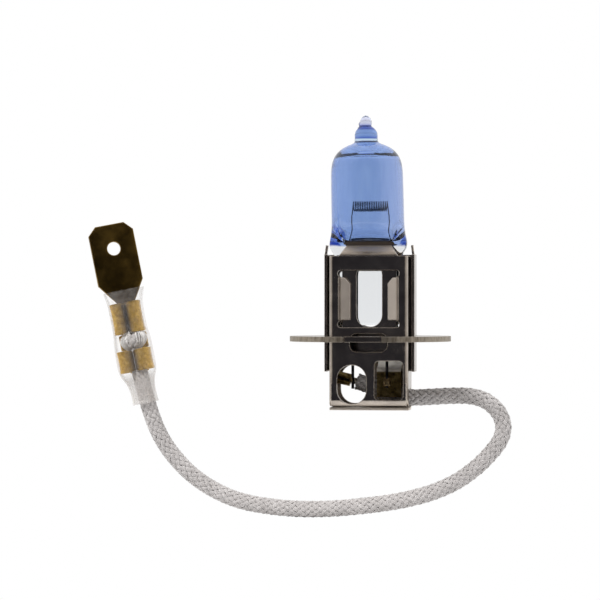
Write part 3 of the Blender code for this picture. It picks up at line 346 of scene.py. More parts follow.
def terminal_brass():
    """Half-hard brass: the blade is tarnished olive brown, the folded crimps gold with painted shade where
    the two rolls meet, and painted highlights on the edges.
    """
    look, tree, inputs = start_material("tarnished_rolled_brass")
    rounded, edge = soft_edges(tree, 0.08 * MM)
    place = add_node(tree, "place")
    from_seam = add_node(tree, "size", add_node(tree, "add", on_terminal(tree, ACROSS_TERMINAL), -CRIMP_SET))
    cloud = add_node(tree, "noise", place, per_mm(2.6), 5.0, 0.6)
    fine = add_node(tree, "noise", place, per_mm(0.5), 4.0, 0.6)
    blade = add_node(tree, "ramp", cloud, stops=[(0.3, 0x5E4A26), (0.5, 0x7A6230), (0.7, 0x94783C)])
    crimps = add_node(tree, "ramp", fine, stops=[(0.3, 0xA07A2C), (0.5, 0xC49C40), (0.7, 0xE0BC60)])
    # painted shade: the crimps darken to brown towards the join between the two rolls
    painted_seam_shade = add_node(tree, "range", from_seam, 0.25 * MM, 1.0 * MM, 0.9, 0.0)
    crimps = add_node(tree, "mix", painted_seam_shade, crimps, 0x4E3A1C)
    on_blade = add_node(tree, "range", on_terminal(tree, ALONG_TERMINAL), -2.0 * MM, -1.6 * MM, 0.0, 1.0)
    colour = add_node(tree, "mix", on_blade, crimps, blade)
    # painted highlight along the edges, mixed to pale gold
    tree.links.new(add_node(tree, "mix", edge, colour, 0xC8B878), inputs["Base Color"])
    tarnish = add_node(tree, "range", cloud, 0.3, 0.7, 0.26, 0.42)
    rough = add_node(tree, "add", tarnish, add_node(tree, "range", on_blade, 0.0, 1.0, 0.2, 0.0))
    tree.links.new(rough, inputs["Roughness"])
    tree.links.new(add_node(tree, "bump", fine, 0.02 * MM, 0.15, rounded), inputs["Normal"])
    tree.links.new(add_node(tree, "range", on_blade, 0.0, 1.0, 0.55, 1.0), inputs["Metallic"])
    return look


def coated_glass():
    """Hard glass with a fired blue coat: sky blue face on, navy where the coat runs round the corners."""
    look, tree, inputs = start_material("blue_coated_hard_glass")
    place = add_node(tree, "place")
    spot = add_node(tree, "split", place)
    height = spot["Z"]
    blue = add_node(tree, "ramp", add_node(tree, "facing", 0.35),
                    stops=[(0.0, 0x8FAEE6), (0.45, 0x7E9FE0), (0.8, 0x4C6FC8), (1.0, 0x2A47AE)])
    drawn = add_node(tree, "noise", add_node(tree, "stretch", place, (1.0, 1.0, 0.12)), per_mm(0.7), 3.0, 0.6)
    speck = add_node(tree, "noise", place, per_mm(0.45), 3.0, 0.65)
    blue = add_node(tree, "mix", add_node(tree, "range", drawn, 0.4, 0.7, 0.0, 0.3), blue, 0x6284D2)
    blue = add_node(tree, "mix", add_node(tree, "range", speck, 0.58, 0.75, 0.0, 0.35), blue, 0xB4C8F0)
    paler = add_node(tree, "range", spot["X"], 1.0 * MM, 4.6 * MM, 0.0, 0.45)
    blue = add_node(tree, "mix", paler, blue, 0xB3C2EC)
    inner = add_node(tree, "range", height, 12.0 * MM, 14.9 * MM, 3.8 * MM, 5.15 * MM)
    beyond = add_node(tree, "less", add_node(tree, "size", spot["X"]), inner)
    corner = add_node(tree, "range", beyond, -0.05 * MM, 0.15 * MM, 0.0, 1.0)
    below = add_node(tree, "range", height, 15.0 * MM, 15.3 * MM, 1.0, 0.0)
    blue = add_node(tree, "mix", add_node(tree, "times", corner, below), blue, 0x2440A8)
    tip = add_node(tree, "ramp", add_node(tree, "range", height, 26.2 * MM, 30.2 * MM, 0.0, 1.0),
                   stops=[(0.0, 0x6A8CDA), (0.06, 0x4366C4), (0.1, 0xE4F6FF), (0.15, 0xD4ECFF),
                          (0.19, 0x4A6CC8), (0.3, 0x88A8E4), (0.44, 0x7C9CDC), (0.5, 0x182C88),
                          (0.61, 0x182C88), (0.66, 0xB0B8EA), (0.72, 0xDCE0F6)])
    on_tip = add_node(tree, "range", height, 26.2 * MM, 26.35 * MM, 0.0, 1.0)
    blue = add_node(tree, "mix", on_tip, blue, tip)
    wobble = add_node(tree, "range", add_node(tree, "noise", place, per_mm(1.5), 2.0, 0.55),
                      0.0, 1.0, -0.25 * MM, 0.25 * MM)
    edge = add_node(tree, "add", height, wobble)
    coated = add_node(tree, "range", edge, 12.2 * MM, 12.5 * MM, 0.0, 1.0)
    tree.links.new(add_node(tree, "mix", coated, 0xF4F6F8, blue), inputs["Base Color"])
    glassy(inputs)
    tree.links.new(add_node(tree, "range", coated, 0.0, 1.0, 1.0, 0.95), inputs["Transmission Weight"])
    waves = add_node(tree, "noise", place, per_mm(1.6), 3.0, 0.55)
    tree.links.new(add_node(tree, "bump", waves, 0.02 * MM, 0.2), inputs["Normal"])
    return look


def glassy(inputs):
    """Clear hard glass right through."""
    inputs["Transmission Weight"].default_value = 1.0
    inputs["IOR"].default_value = 1.47
    inputs["Roughness"].default_value = 0.0


def bare_glass():
    """The uncoated inner wall, drawn slightly wavy when the tube was heated."""
    look, tree, inputs = start_material("bare_hard_glass")
    inputs["Base Color"].default_value = srgb(0xFBFCFD)
    glassy(inputs)
    waves = add_node(tree, "noise", add_node(tree, "place"), per_mm(1.6), 2.0, 0.55)
    tree.links.new(add_node(tree, "bump", waves, 0.02 * MM, 0.1), inputs["Normal"])
    return look


def plain_metal(name, size, detail, stops, roughness):
    """Bare metal in patches of a few tones; size is a patch's, in mm. Also gives its tree and sockets."""
    look, tree, inputs = start_material(name)
    patches = add_node(tree, "noise", add_node(tree, "place"), per_mm(size), detail, 0.55)
    tree.links.new(add_node(tree, "ramp", patches, stops=stops), inputs["Base Color"])
    inputs["Metallic"].default_value = 1.0
    inputs["Roughness"].default_value = roughness
    return look, tree, inputs


def tungsten_wire():
    """Drawn tungsten: dark grey with a slight sheen along the turns."""
    return plain_metal("drawn_tungsten", 0.3, 3.0, [(0.35, 0x3A3B45), (0.65, 0x6A6C78)], 0.38)[0]


def molybdenum_wire():
    """Etched molybdenum, nearly black where the seal's heat has oxidised it."""
    return plain_metal("oxidised_molybdenum", 0.8, 4.0, [(0.35, 0x1C1B1D), (0.65, 0x5A595C)], 0.4)[0]


def weld_nugget():
    """Spot-welded joint: a lumpy bronze-grey bead with a bright re-melted crown."""
    tones = [(0.35, 0x4A3C26), (0.6, 0x9C8A68), (0.75, 0xD6CAB0)]
    look, tree, inputs = plain_metal("spot_weld_bead", 0.4, 4.0, tones, 0.28)
    lumps = add_node(tree, "noise", add_node(tree, "place"), per_mm(0.18), 3.0, 0.55)
    tree.links.new(add_node(tree, "bump", lumps, 0.04 * MM, 0.5), inputs["Normal"])
    return look


def tinned_strands():
    """Tinned copper strands twisted together: pale grey with fine slanting lines."""
    look, tree, inputs = start_material("twisted_tinned_copper")
    turned = add_node(tree, "turn", add_node(tree, "place"), (0, math.radians(35), 0))
    strands = add_node(tree, "waves", turned, per_mm(1.6), 0.6)
    tones = add_node(tree, "ramp", strands, stops=[(0.2, 0x6E6A64), (0.8, 0xC4BDB2)])
    tree.links.new(tones, inputs["Base Color"])
    tree.links.new(add_node(tree, "bump", strands, 0.05 * MM, 0.6), inputs["Normal"])
    inputs["Metallic"].default_value = 1.0
    inputs["Roughness"].default_value = 0.35
    return look


def braided_glass_fibre():
    """Woven glass fibre: each carrier is a flat bundle of fine white filaments, greyer in the gaps."""
    look, tree, inputs = start_material("braided_glass_fibre_yarn")
    drawn = add_node(tree, "stretch", add_node(tree, "yarn map"), (9.0, 0.7, 1.0))
    fibre = add_node(tree, "noise", drawn, 1.0, 4.0, 0.7)
    soil = add_node(tree, "noise", add_node(tree, "place"), per_mm(3.0), 4.0, 0.55)
    yarn = add_node(tree, "ramp", fibre, stops=[(0.25, 0x8F8B8A), (0.5, 0xC4C0BF), (0.75, 0xEAE8E7)])
    shade = add_node(tree, "range", soil, 0.35, 0.7, 0.35, 0.0)
    tree.links.new(add_node(tree, "mix", shade, yarn, 0x9A9694), inputs["Base Color"])
    tree.links.new(add_node(tree, "bump", fibre, 0.04 * MM, 0.7), inputs["Normal"])
    inputs["Roughness"].default_value = 0.75
    inputs["Sheen Weight"].default_value = 0.3
    inputs["Subsurface Weight"].default_value = 0.15
    inputs["Subsurface Radius"].default_value = (0.3 * MM, 0.3 * MM, 0.3 * MM)
    return look


def frayed_fibre():
    """Loose ends of the same glass fibre, painted whiter than the braid to make up for the shade under the
    sleeve.
    """
    look, tree, inputs = start_material("frayed_glass_fibre")
    place = add_node(tree, "place")
    patches = add_node(tree, "noise", place, per_mm(0.5), 3.0, 0.55)
    # painted light: these tones are lighter than the braid's to offset the shade the sleeve casts on the
    # tufts
    tones = add_node(tree, "ramp", patches, stops=[(0.35, 0xD8D5D2), (0.65, 0xFAF9F8)])
    tree.links.new(tones, inputs["Base Color"])
    fuzz = add_node(tree, "noise", place, per_mm(0.08), 2.0, 0.55)
    tree.links.new(add_node(tree, "bump", fuzz, 0.02 * MM, 0.5), inputs["Normal"])
    inputs["Roughness"].default_value = 0.8
    inputs["Sheen Weight"].default_value = 0.3
    return look


def clear_vinyl():
    """Thin extruded vinyl sleeve: clear with a milky bloom, whiter where the wall is seen edge on."""
    look, tree, inputs = start_material("clear_extruded_vinyl")
    place = add_node(tree, "place")
    bloom = add_node(tree, "noise", place, per_mm(1.3), 3.0, 0.55)
    wall = add_node(tree, "range", add_node(tree, "facing", 0.25), 0.3, 0.95, 0.03, 0.75)
    haze = add_node(tree, "range", bloom, 0.35, 0.75, 0.0, 0.05)
    milky = add_node(tree, "range", on_terminal(tree, ALONG_TERMINAL), -12.6 * MM, -11.4 * MM, 0.22, 0.0)
    tree.links.new(add_node(tree, "add", add_node(tree, "add", wall, haze), milky), inputs["Alpha"])
    tones = add_node(tree, "ramp", bloom, stops=[(0.3, 0xD9D2CC), (0.7, 0xEEEBE8)])
    tree.links.new(tones, inputs["Base Color"])
    tree.links.new(add_node(tree, "range", bloom, 0.3, 0.7, 0.12, 0.3), inputs["Roughness"])
    dents = add_node(tree, "noise", place, per_mm(0.9), 2.0, 0.55)
    tree.links.new(add_node(tree, "bump", dents, 0.03 * MM, 0.25), inputs["Normal"])
    return look


# ---------------------------------------------------------------- modelling helpers

def dress(name, look):
    """Give one of the loaded pieces its material."""
    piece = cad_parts[name]
    if not piece.material_slots:
        piece.data.materials.append(look)
    for slot in piece.material_slots:
        slot.material = look


def deselect():
    if bpy.context.object and bpy.context.object.mode == "EDIT":
        bpy.ops.object.mode_set(mode="OBJECT")
    bpy.ops.object.select_all(action="DESELECT")


def pick(*pieces):
    """Select only these pieces and make the last one active."""
    deselect()
    for piece in pieces:
        piece.select_set(True)
    bpy.context.view_layer.objects.active = pieces[-1]


def make_mesh(curve_piece):
    """The mesh a curve is turned into."""
    bpy.context.scene.collection.objects.link(curve_piece)
    pick(curve_piece)
    bpy.ops.object.convert(target="MESH")
    return bpy.context.object


def face_outwards(merge=0.0):
    """Turn every face of the active piece outwards, once the corners within merge of each other are one."""
    bpy.ops.object.mode_set(mode="EDIT")
    bpy.ops.mesh.select_all(action="SELECT")
    if merge:
        bpy.ops.mesh.remove_doubles(threshold=merge)
    bpy.ops.mesh.normals_make_consistent(inside=False)
    bpy.ops.object.mode_set(mode="OBJECT")


def finish_skin(piece, look, sharp=ROUND_UP_TO):
    """Give a piece its one material and shade it round, apart from edges bent more than sharp."""
    piece.data.materials.clear()
    piece.data.materials.append(look)
    piece.data.shade_smooth()
    piece.data.set_sharp_from_angle(angle=sharp)


def ring_points(half_width, half_depth, squareness, sides, height):
    """Section between an ellipse (squareness 2) and nearly a rectangle (8), as points in order."""
    points = []
    for i in range(sides):
        angle = 2 * math.pi * (i + 0.5) / sides
        c, s = math.cos(angle), math.sin(angle)
        points.append(Vector((half_width * math.copysign(abs(c) ** (2 / squareness), c),
                              half_depth * math.copysign(abs(s) ** (2 / squareness), s), height)))
    return points


def stacked(name, sections, sides, capped=True):
    """A disc drawn up row by row: each is extruded and set to its own width, depth and height."""
    deselect()
    bpy.ops.mesh.primitive_circle_add(vertices=sides, radius=1 * MM,
                                      fill_type="NGON" if capped else "NOTHING")
    piece = bpy.context.object
    piece.name = name
    first = sorted(piece.data.vertices, key=lambda vert: math.atan2(vert.co.y, vert.co.x) % (2 * math.pi))
    for vert, place in zip(first, ring_points(1, 1, 2, sides, 0)):
        vert.co = place
    bpy.ops.object.mode_set(mode="EDIT")
    for i, (height, half_width, half_depth, squareness) in enumerate(sections):
        if i:
            bpy.ops.mesh.extrude_region_move()
        work = bmesh.from_edit_mesh(piece.data)
        row = [vert for vert in work.verts if vert.select]
        place_row(row, half_width, half_depth, squareness, height)
        bmesh.update_edit_mesh(piece.data)
    face_outwards()
    return piece


def place_row(row, half_width, half_depth, squareness, height):
    """Put one row of vertices on its section, keeping their order round it."""
    middle = sum((vert.co for vert in row), Vector()) / len(row)
    wide = max(abs(vert.co.x - middle.x) for vert in row)
    deep = max(abs(vert.co.y - middle.y) for vert in row)

    def way_round(vert):
        return math.atan2((vert.co.y - middle.y) / deep, (vert.co.x - middle.x) / wide) % (2 * math.pi)

    places = ring_points(half_width, half_depth, squareness, len(row), height)
    for vert, place in zip(sorted(row, key=way_round), places):
        vert.co = place


def catmull(points, step):
    """Points about a step apart on a smooth curve through the given points, and the curve's length."""
    padded = [2 * points[0] - points[1], *points, 2 * points[-1] - points[-2]]
    fine = []
    parts = 24
    for a, b, c, d in zip(padded, padded[1:], padded[2:], padded[3:]):
        for i in range(parts):
            t = i / parts
            fine.append(0.5 * (2 * b + (c - a) * t + (2 * a - 5 * b + 4 * c - d) * t ** 2
                               + (3 * b - a - 3 * c + d) * t ** 3))
    fine.append(points[-1])
    lengths = [0.0]
    for a, b in zip(fine, fine[1:]):
        lengths.append(lengths[-1] + (b - a).length)
    count = max(round(lengths[-1] / step), 1)
    route = []
    at = 0
    for i in range(count + 1):
        target = lengths[-1] * i / count
        while at < len(lengths) - 2 and lengths[at + 1] < target:
            at += 1
        share = (target - lengths[at]) / (lengths[at + 1] - lengths[at])
        route.append(fine[at].lerp(fine[at + 1], share))
    return route, lengths[-1]


def terminal_point(u, v, w):
    """A point given across, behind and along the terminal."""
    return TERMINAL_MATRIX @ Vector((u, v, w))


def mesh_piece(name, verts, faces, look):
    """A smooth piece from its corners and faces."""
    mesh = bpy.data.meshes.new(name)
    mesh.from_pydata(verts, [], faces)
    piece = bpy.data.objects.new(name, mesh)
    bpy.context.scene.collection.objects.link(piece)
    mesh.materials.append(look)
    mesh.shade_smooth()
    return piece


# ---------------------------------------------------------------- glass and filament

PINCH = [                            # height, half width, half depth, squareness, in mm
    (1.5, 4.4, 0.85, 8), (1.62, 4.58, 1.02, 8), (1.85, 4.65, 1.1, 8), (11.0, 4.65, 1.1, 8),
    (11.35, 4.78, 1.1, 8), (11.8, 5.12, 1.1, 7), (12.2, 5.26, 1.1, 6), (12.6, 5.3, 1.14, 5.2),
    (13.0, 5.26, 1.36, 4.4), (13.4, 5.18, 1.85, 3.6), (13.9, 5.08, 2.65, 2.9), (14.4, 5.02, 3.5, 2.4),
    (14.9, 4.98, 4.2, 2.15), (15.5, 4.96, 4.72, 2.03), (16.2, 4.95, 4.93, 2), (17.5, 4.95, 4.95, 2),
]
ENVELOPE = [                         # height and radius, in mm
    (19.0, 4.94), (20.6, 4.93), (22.0, 4.91), (22.7, 4.87), (23.3, 4.8), (23.8, 4.68), (24.25, 4.51),
    (24.65, 4.29), (25.0, 4.03), (25.3, 3.72), (25.57, 3.37), (25.8, 2.98), (26.0, 2.56), (26.16, 2.16),
    (26.28, 1.86), (26.4, 1.68), (26.55, 1.59), (26.75, 1.6), (26.95, 1.56), (27.2, 1.57), (27.5, 1.56),
    (27.8, 1.49), (28.05, 1.36), (28.27, 1.18), (28.45, 0.97), (28.56, 0.8), (28.66, 0.74), (28.8, 0.76),
    (29.0, 0.8), (29.25, 0.8), (29.5, 0.73), (29.72, 0.6), (29.9, 0.44), (30.02, 0.26), (30.08, 0.1),
]
HOLLOW = [                           # height, half width, half depth, in mm
    (12.75, 2.3, 0.25), (12.85, 2.9, 0.5), (13.1, 3.35, 0.9), (13.5, 3.7, 1.5), (14.0, 3.98, 2.35),
    (14.5, 4.12, 3.1), (15.1, 4.19, 3.75), (15.8, 4.2, 4.1), (16.6, 4.2, 4.2), (18.0, 4.2, 4.2),
    (20.0, 4.19, 4.19), (22.0, 4.18, 4.18), (23.2, 4.16, 4.16), (23.8, 4.1, 4.1), (24.15, 3.98, 3.98),
    (24.38, 3.76, 3.76), (24.52, 3.4, 3.4), (24.6, 2.8, 2.8), (24.64, 2.1, 2.1), (24.67, 1.4, 1.4),
    (24.69, 0.7, 0.7), (24.7, 0.2, 0.2),
]
GLASS_SIDES = 96
TIP_BULGE = 28.3                     # where the tip's lopsided last millimetre starts, in mm


def blow_glass(coat, bare):
    """Envelope, pinch and exhaust tip as one outer skin, with the gas space as an inner one."""
    outer = [(h * MM, u * MM, v * MM, q) for h, u, v, q in PINCH]
    outer += [(h * MM, r * MM, r * MM, 2) for h, r in ENVELOPE]
    glass = stacked("bulb_glass", outer, GLASS_SIDES)
    hollow = [(h * MM, u * MM, v * MM, 2) for h, u, v in HOLLOW]
    inner = stacked("bulb_gas_space", hollow, GLASS_SIDES)
    ripple_ceiling(inner)
    for vert in glass.data.vertices:
        above = vert.co.z / MM - TIP_BULGE
        if 0 < above < 1 and vert.co.x < 0:
            vert.co.x *= 1 + 0.3 * math.sin(math.pi * above)
    glass.data.materials.append(coat)
    inner.data.materials.append(bare)
    pick(inner)
    bpy.ops.object.mode_set(mode="EDIT")
    bpy.ops.mesh.select_all(action="SELECT")
    bpy.ops.mesh.flip_normals()
    bpy.ops.object.mode_set(mode="OBJECT")
    pick(inner, glass)
    bpy.ops.object.join()
    glass.data.transform(Matrix.Rotation(-GLASS_LEAN, 4, "Y"))
    glass.data.shade_smooth()
    glass.data.set_sharp_from_angle(angle=ROUND_UP_TO)
    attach(glass, BODY)
    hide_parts("glass_bulb")


def ripple_ceiling(inner):
    """The top of the gas space is uneven where the tip was melted off."""
    for vert in inner.data.vertices:
        if vert.co.z > 24.05 * MM:
            angle = math.atan2(vert.co.y, vert.co.x)
            away = math.hypot(vert.co.x, vert.co.y) / (4 * MM)
            wave = math.sin(3 * angle + 0.7) + 0.7 * math.sin(5 * angle + 2.1) + 0.4 * math.sin(9 * angle)
            vert.co.z += wave * 0.09 * MM * away * (1.1 - away)


def wire_piece(name, lines, diameter, sides_level, look):
    """Round wires along lists of points, as one curve with filled ends, made a mesh."""
    curve = bpy.data.curves.new(name, "CURVE")
    curve.dimensions = "3D"
    curve.bevel_depth = diameter / 2
    curve.bevel_resolution = sides_level
    curve.use_fill_caps = True
    for points in lines:
        spline = curve.splines.new("POLY")
        spline.points.add(len(points) - 1)
        for point, place in zip(spline.points, points):
            point.co = (*place, 1)
    piece = make_mesh(bpy.data.objects.new(name, curve))
    face_outwards(MERGE)
    finish_skin(piece, look)
    return piece


def wind_filament(look):
    """Nineteen close turns across the bulb, with a leg from each end splayed down into the pinch."""
    turns, per_turn, wire, length, radius = 19, 20, 0.15 * MM, 4.6 * MM, 0.62 * MM
    steps = turns * per_turn
    coil = []
    for i in range(steps + 1):
        angle = 2 * math.pi * i / per_turn + math.pi / 2
        loose = 1 + 0.012 * math.sin(i * 0.37)
        coil.append(Vector((-length / 2 + length * i / steps, radius * loose * math.cos(angle),
                            COIL_HEIGHT + radius * loose * math.sin(angle))))
    leg = [(2.5 * MM, 10.6 * MM), (2.96 * MM, 12.6 * MM), (2.96 * MM, 13.1 * MM),
           (2.36 * MM, COIL_HEIGHT + 0.2 * MM)]
    left = [Vector((-out, 0, height)) for out, height in leg]
    right = [Vector((out, 0, height)) for out, height in leg[::-1]]
    piece = wire_piece("filament_coil", [left + coil + right], wire, 2, look)
    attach(piece, BODY)
    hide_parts("filament")


# ---------------------------------------------------------------- lead

CARRIERS = 8                         # in each direction
BRAID_PITCH = 9.0 * MM
BRAID_STEP = 0.17 * MM
YARN_HALF_WIDTH = 0.33 * MM
YARN_THICKNESS = 0.16 * MM
BRAID_RADIUS = 1.0 * MM              # to the middle of the yarn
WEAVE_DEPTH = 0.085 * MM


def braid_swell(back):
    """Width of the braid by distance back from its cut end: frayed, then gripped by the crimp."""
    fray, grip_end = 2.15 * MM, 5.2 * MM
    if back < fray:
        share = back / fray
        return 0.55 + 0.85 * math.sin(math.pi * (0.12 + 0.88 * share) ** 0.8) ** 0.8
    if back < grip_end:
        edge = min(back - fray, grip_end - back, 0.35 * MM) / (0.35 * MM)
        return 1.0 - 0.06 * edge
    return 1.0


def braid_lead(look):
    """Sixteen flat yarns plaited one over, one under, round a plain inner sleeve."""
    hand_points = [Vector((x * MM, LEAD_PLANE, z * MM)) for x, z in CORD_ROUTE]
    route, length = catmull([*hand_points, terminal_point(0, 0, BRAID_END)], BRAID_STEP)
    count = len(route)
    tangents = [(route[min(i + 1, count - 1)] - route[max(i - 1, 0)]).normalized()
                for i in range(count)]
    side = Vector((0, 1, 0))
    swell = [braid_swell(length * (1 - i / (count - 1))) for i in range(count)]
    verts, faces, uvs = [], [], []

    def frame_point(i, angle, radius):
        up = tangents[i].cross(side)
        return route[i] + (side * math.cos(angle) + up * math.sin(angle)) * radius

    turn = 2 * math.pi / BRAID_PITCH
    section = [(-1.0, -0.2), (-0.62, 0.62), (0.0, 1.0), (0.62, 0.62), (1.0, -0.2), (0.0, -0.9)]
    for direction in (1, -1):
        for carrier in range(CARRIERS):
            first = len(verts)
            start = 2 * math.pi * carrier / CARRIERS
            jitter = DICE.uniform(-0.08, 0.08)
            for i in range(count):
                run = length * i / (count - 1)
                phase = CARRIERS * turn * run
                wander = 0.03 * math.sin(run * 900 + carrier)
                angle = start + direction * turn * run + wander + jitter * 0.3
                mid = BRAID_RADIUS * swell[i] + direction * WEAVE_DEPTH * math.cos(phase)
                ripple = 0.05 * math.sin(run * 2300 + carrier * 2.2)
                widen = 0.93 + 0.07 * math.cos(phase) * direction + ripple
                half = YARN_HALF_WIDTH * widen * (0.55 + 0.45 * swell[i])
                lean = direction * math.atan(turn * BRAID_RADIUS)
                for across, out in section:
                    shift = across * half
                    spot = frame_point(i, angle + shift * math.cos(lean) / mid,
                                       mid + out * YARN_THICKNESS / 2 - shift * shift / mid * 0.1)
                    verts.append(spot - tangents[i] * (shift * math.sin(lean)))
                    uvs.append((across * 0.5 + 0.5 + carrier * 3 + direction, run / MM))
            row = len(section)
            for i in range(count - 1):
                for k in range(row):
                    a = first + i * row + k
                    b = first + i * row + (k + 1) % row
                    faces.append((a, a + row, b + row, b))
            faces.append(tuple(first + k for k in range(row)))
            faces.append(tuple(first + (count - 1) * row + k for k in reversed(range(row))))
    core_sides, core_step = 16, 6
    first = len(verts)
    stations = [*range(0, count - 1, core_step), count - 1]
    for i in stations:
        for k in range(core_sides):
            radius = BRAID_RADIUS * swell[i] - YARN_THICKNESS * 0.9
            verts.append(frame_point(i, 2 * math.pi * k / core_sides, radius))
            uvs.append((k * 0.5, length * i / (count - 1) / MM))
    for j in range(len(stations) - 1):
        for k in range(core_sides):
            a = first + j * core_sides + k
            b = first + j * core_sides + (k + 1) % core_sides
            faces.append((a, a + core_sides, b + core_sides, b))
    faces.append(tuple(first + k for k in range(core_sides)))
    last = first + (len(stations) - 1) * core_sides
    faces.append(tuple(last + k for k in reversed(range(core_sides))))
    braid = mesh_piece("lead_woven_braid", verts, faces, look)
    layer = braid.data.uv_layers.new(name="yarn")
    for loop in braid.data.loops:
        layer.data[loop.index].uv = uvs[loop.vertex_index]
    pick(braid)
    face_outwards()
    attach(braid, BODY)
    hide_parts("lead_braid")
    return braid, route[::8] + [route[-1]], length


# ---------------------------------------------------------------- sleeve and welds

SLEEVE = [                           # w, half width, half depth, middle depth, squareness, in mm
    (0.0, 2.72, 1.6, 1.2, 5.0), (-0.5, 2.6, 1.68, 1.0, 4.6), (-1.0, 2.45, 1.78, 0.78, 4.2),
    (-1.9, 2.26, 1.9, 0.4, 4.0), (-3.5, 2.22, 1.9, 0.33, 4.0), (-5.6, 2.22, 1.9, 0.35, 4.0),
    (-6.6, 2.36, 1.98, 0.25, 3.8), (-7.6, 2.48, 2.1, 0.1, 3.6), (-9.8, 2.52, 2.15, 0.05, 3.6),
    (-11.3, 2.5, 2.12, 0.05, 3.5), (-11.9, 2.3, 2.0, 0.03, 3.1), (-12.6, 1.94, 1.8, 0.0, 2.6),
    (-13.4, 1.74, 1.65, 0.0, 2.2), (-14.6, 1.66, 1.6, 0.0, 2.1), (-15.5, 1.7, 1.62, 0.0, 2.0),
    (-15.9, 1.78, 1.68, 0.0, 2.0),
]
SLEEVE_SIDES = 72
SLEEVE_WALL = 0.15 * MM


def slip_sleeve(look):
    """Clear sleeve pulled over the crimps, a little creased where it narrows on to the braid."""
    sections = [(w * MM, u * MM, v * MM, q) for w, u, v, _, q in SLEEVE]
    sleeve = stacked("clear_terminal_sleeve", sections, SLEEVE_SIDES, capped=False)
    middles = {round(w * MM, 7): c * MM for w, _, _, c, _ in SLEEVE}
    for vert in sleeve.data.vertices:
        angle = math.atan2(vert.co.y, vert.co.x)
        broad = 0.012 * math.sin(5 * angle + vert.co.z * 900)
        fine = 0.008 * math.sin(11 * angle - vert.co.z * 1500)
        crease = 1 + broad + fine
        on_crimps = min(max((vert.co.z + 15 * MM) / (3 * MM), 0), 1)
        vert.co.x = vert.co.x * crease + CRIMP_SET * on_crimps
        vert.co.y = vert.co.y * crease + middles[round(vert.co.z, 7)]
    sleeve.data.transform(TERMINAL_MATRIX)
    smooth = sleeve.modifiers.new("smooth", "SUBSURF")
    smooth.levels = smooth.render_levels = 1
    wall = sleeve.modifiers.new("wall", "SOLIDIFY")
    wall.thickness = SLEEVE_WALL
    wall.offset = 0
    for name in ("smooth", "wall"):
        bpy.ops.object.modifier_apply(modifier=name)
    finish_skin(sleeve, look)
    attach(sleeve, BODY)
    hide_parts("terminal_sleeve")


SHEET_BRASS = 0.4 * MM
BLADE_HALF = 0.4                     # half the blade's thickness, in mm
BLADE_ROLL = 0.16                    # rounding of its edges, in mm
BLADE_OUTLINE = [                    # across and along, in mm, right half from the strip up
    (1.3, -11.5), (1.3, -8.4), (1.95, -8.2), (1.95, -6.2), (1.3, -6.0), (1.3, -1.6), (2.33, -0.12),
    (2.45, 0.12), (3.15, 1.15), (3.15, 8.2), (2.0, 9.35),
]
BLADE_HOLE = (5.95, 0.925)           # height and radius, in mm


def punched_blade():
    """Blade, neck and strip as one filled outline with rolled edges round it and the hole."""
    curve = bpy.data.curves.new("blade", "CURVE")
    curve.dimensions = "2D"
    curve.fill_mode = "BOTH"
    curve.bevel_depth = BLADE_ROLL
    curve.bevel_resolution = 3
    curve.extrude = BLADE_HALF - BLADE_ROLL
    curve.offset = -BLADE_ROLL
    outline = BLADE_OUTLINE + [(-u, w) for u, w in BLADE_OUTLINE[::-1]]
    height, radius = BLADE_HOLE
    hole = [(radius * math.cos(a), height + radius * math.sin(a))
            for a in (2 * math.pi * i / 48 for i in range(48))]
    for points in (outline, hole):
        spline = curve.splines.new("POLY")
        spline.points.add(len(points) - 1)
        for point, (u, w) in zip(spline.points, points):
            point.co = (u, w, 0, 1)
        spline.use_cyclic_u = True
    blade = make_mesh(bpy.data.objects.new("blade", curve))
    stand = Matrix(((1, 0, 0, 0), (0, 0, 1, 0), (0, 1, 0, 0), (0, 0, 0, 1)))
    blade.data.transform(Matrix.Translation((0, BLADE_PLANE, 0)) @ stand @ Matrix.Scale(MM, 4))
    for vert in blade.data.vertices:
        neck = min(max((vert.co.z + 1.5 * MM) / (2.5 * MM), 0), 1)
        out = vert.co.y - BLADE_PLANE
        side = vert.co.x
        vert.co.x = side * math.cos(BLADE_TWIST * neck) - out * math.sin(BLADE_TWIST * neck)
        vert.co.x += CRIMP_SET + (BLADE_SET - CRIMP_SET) * neck
        vert.co.y = BLADE_PLANE + side * math.sin(BLADE_TWIST * neck) + out * math.cos(BLADE_TWIST * neck)
        if vert.co.z < -1.2 * MM:
            share = min((-1.2 * MM - vert.co.z) / (0.6 * MM), 1)
            vert.co.y = BLADE_PLANE + (vert.co.y - BLADE_PLANE) * (1 - 0.5 * share)
    return blade


def wing_section(half, front, meet):
    """Half of a B-shaped crimp seen along the wire: floor, side, round shoulder and curled-in end."""
    lobe = (half - meet) / 2
    corner = 0.6 * MM
    path = [(0.0, BLADE_PLANE), ((half - corner) / 2, BLADE_PLANE)]
    path += [(half - corner + corner * math.sin(a), BLADE_PLANE - corner + corner * math.cos(a))
             for a in (math.pi / 2 * i / 5 for i in range(6))]
    path.append((half, (BLADE_PLANE - corner + front + lobe) / 2))
    path += [(half - lobe + lobe * math.cos(a), front + lobe - lobe * math.sin(a))
             for a in (math.pi * 1.12 * i / 14 for i in range(15))]
    path.append((meet + 0.18 * MM, front + lobe + 0.75 * MM))
    return path


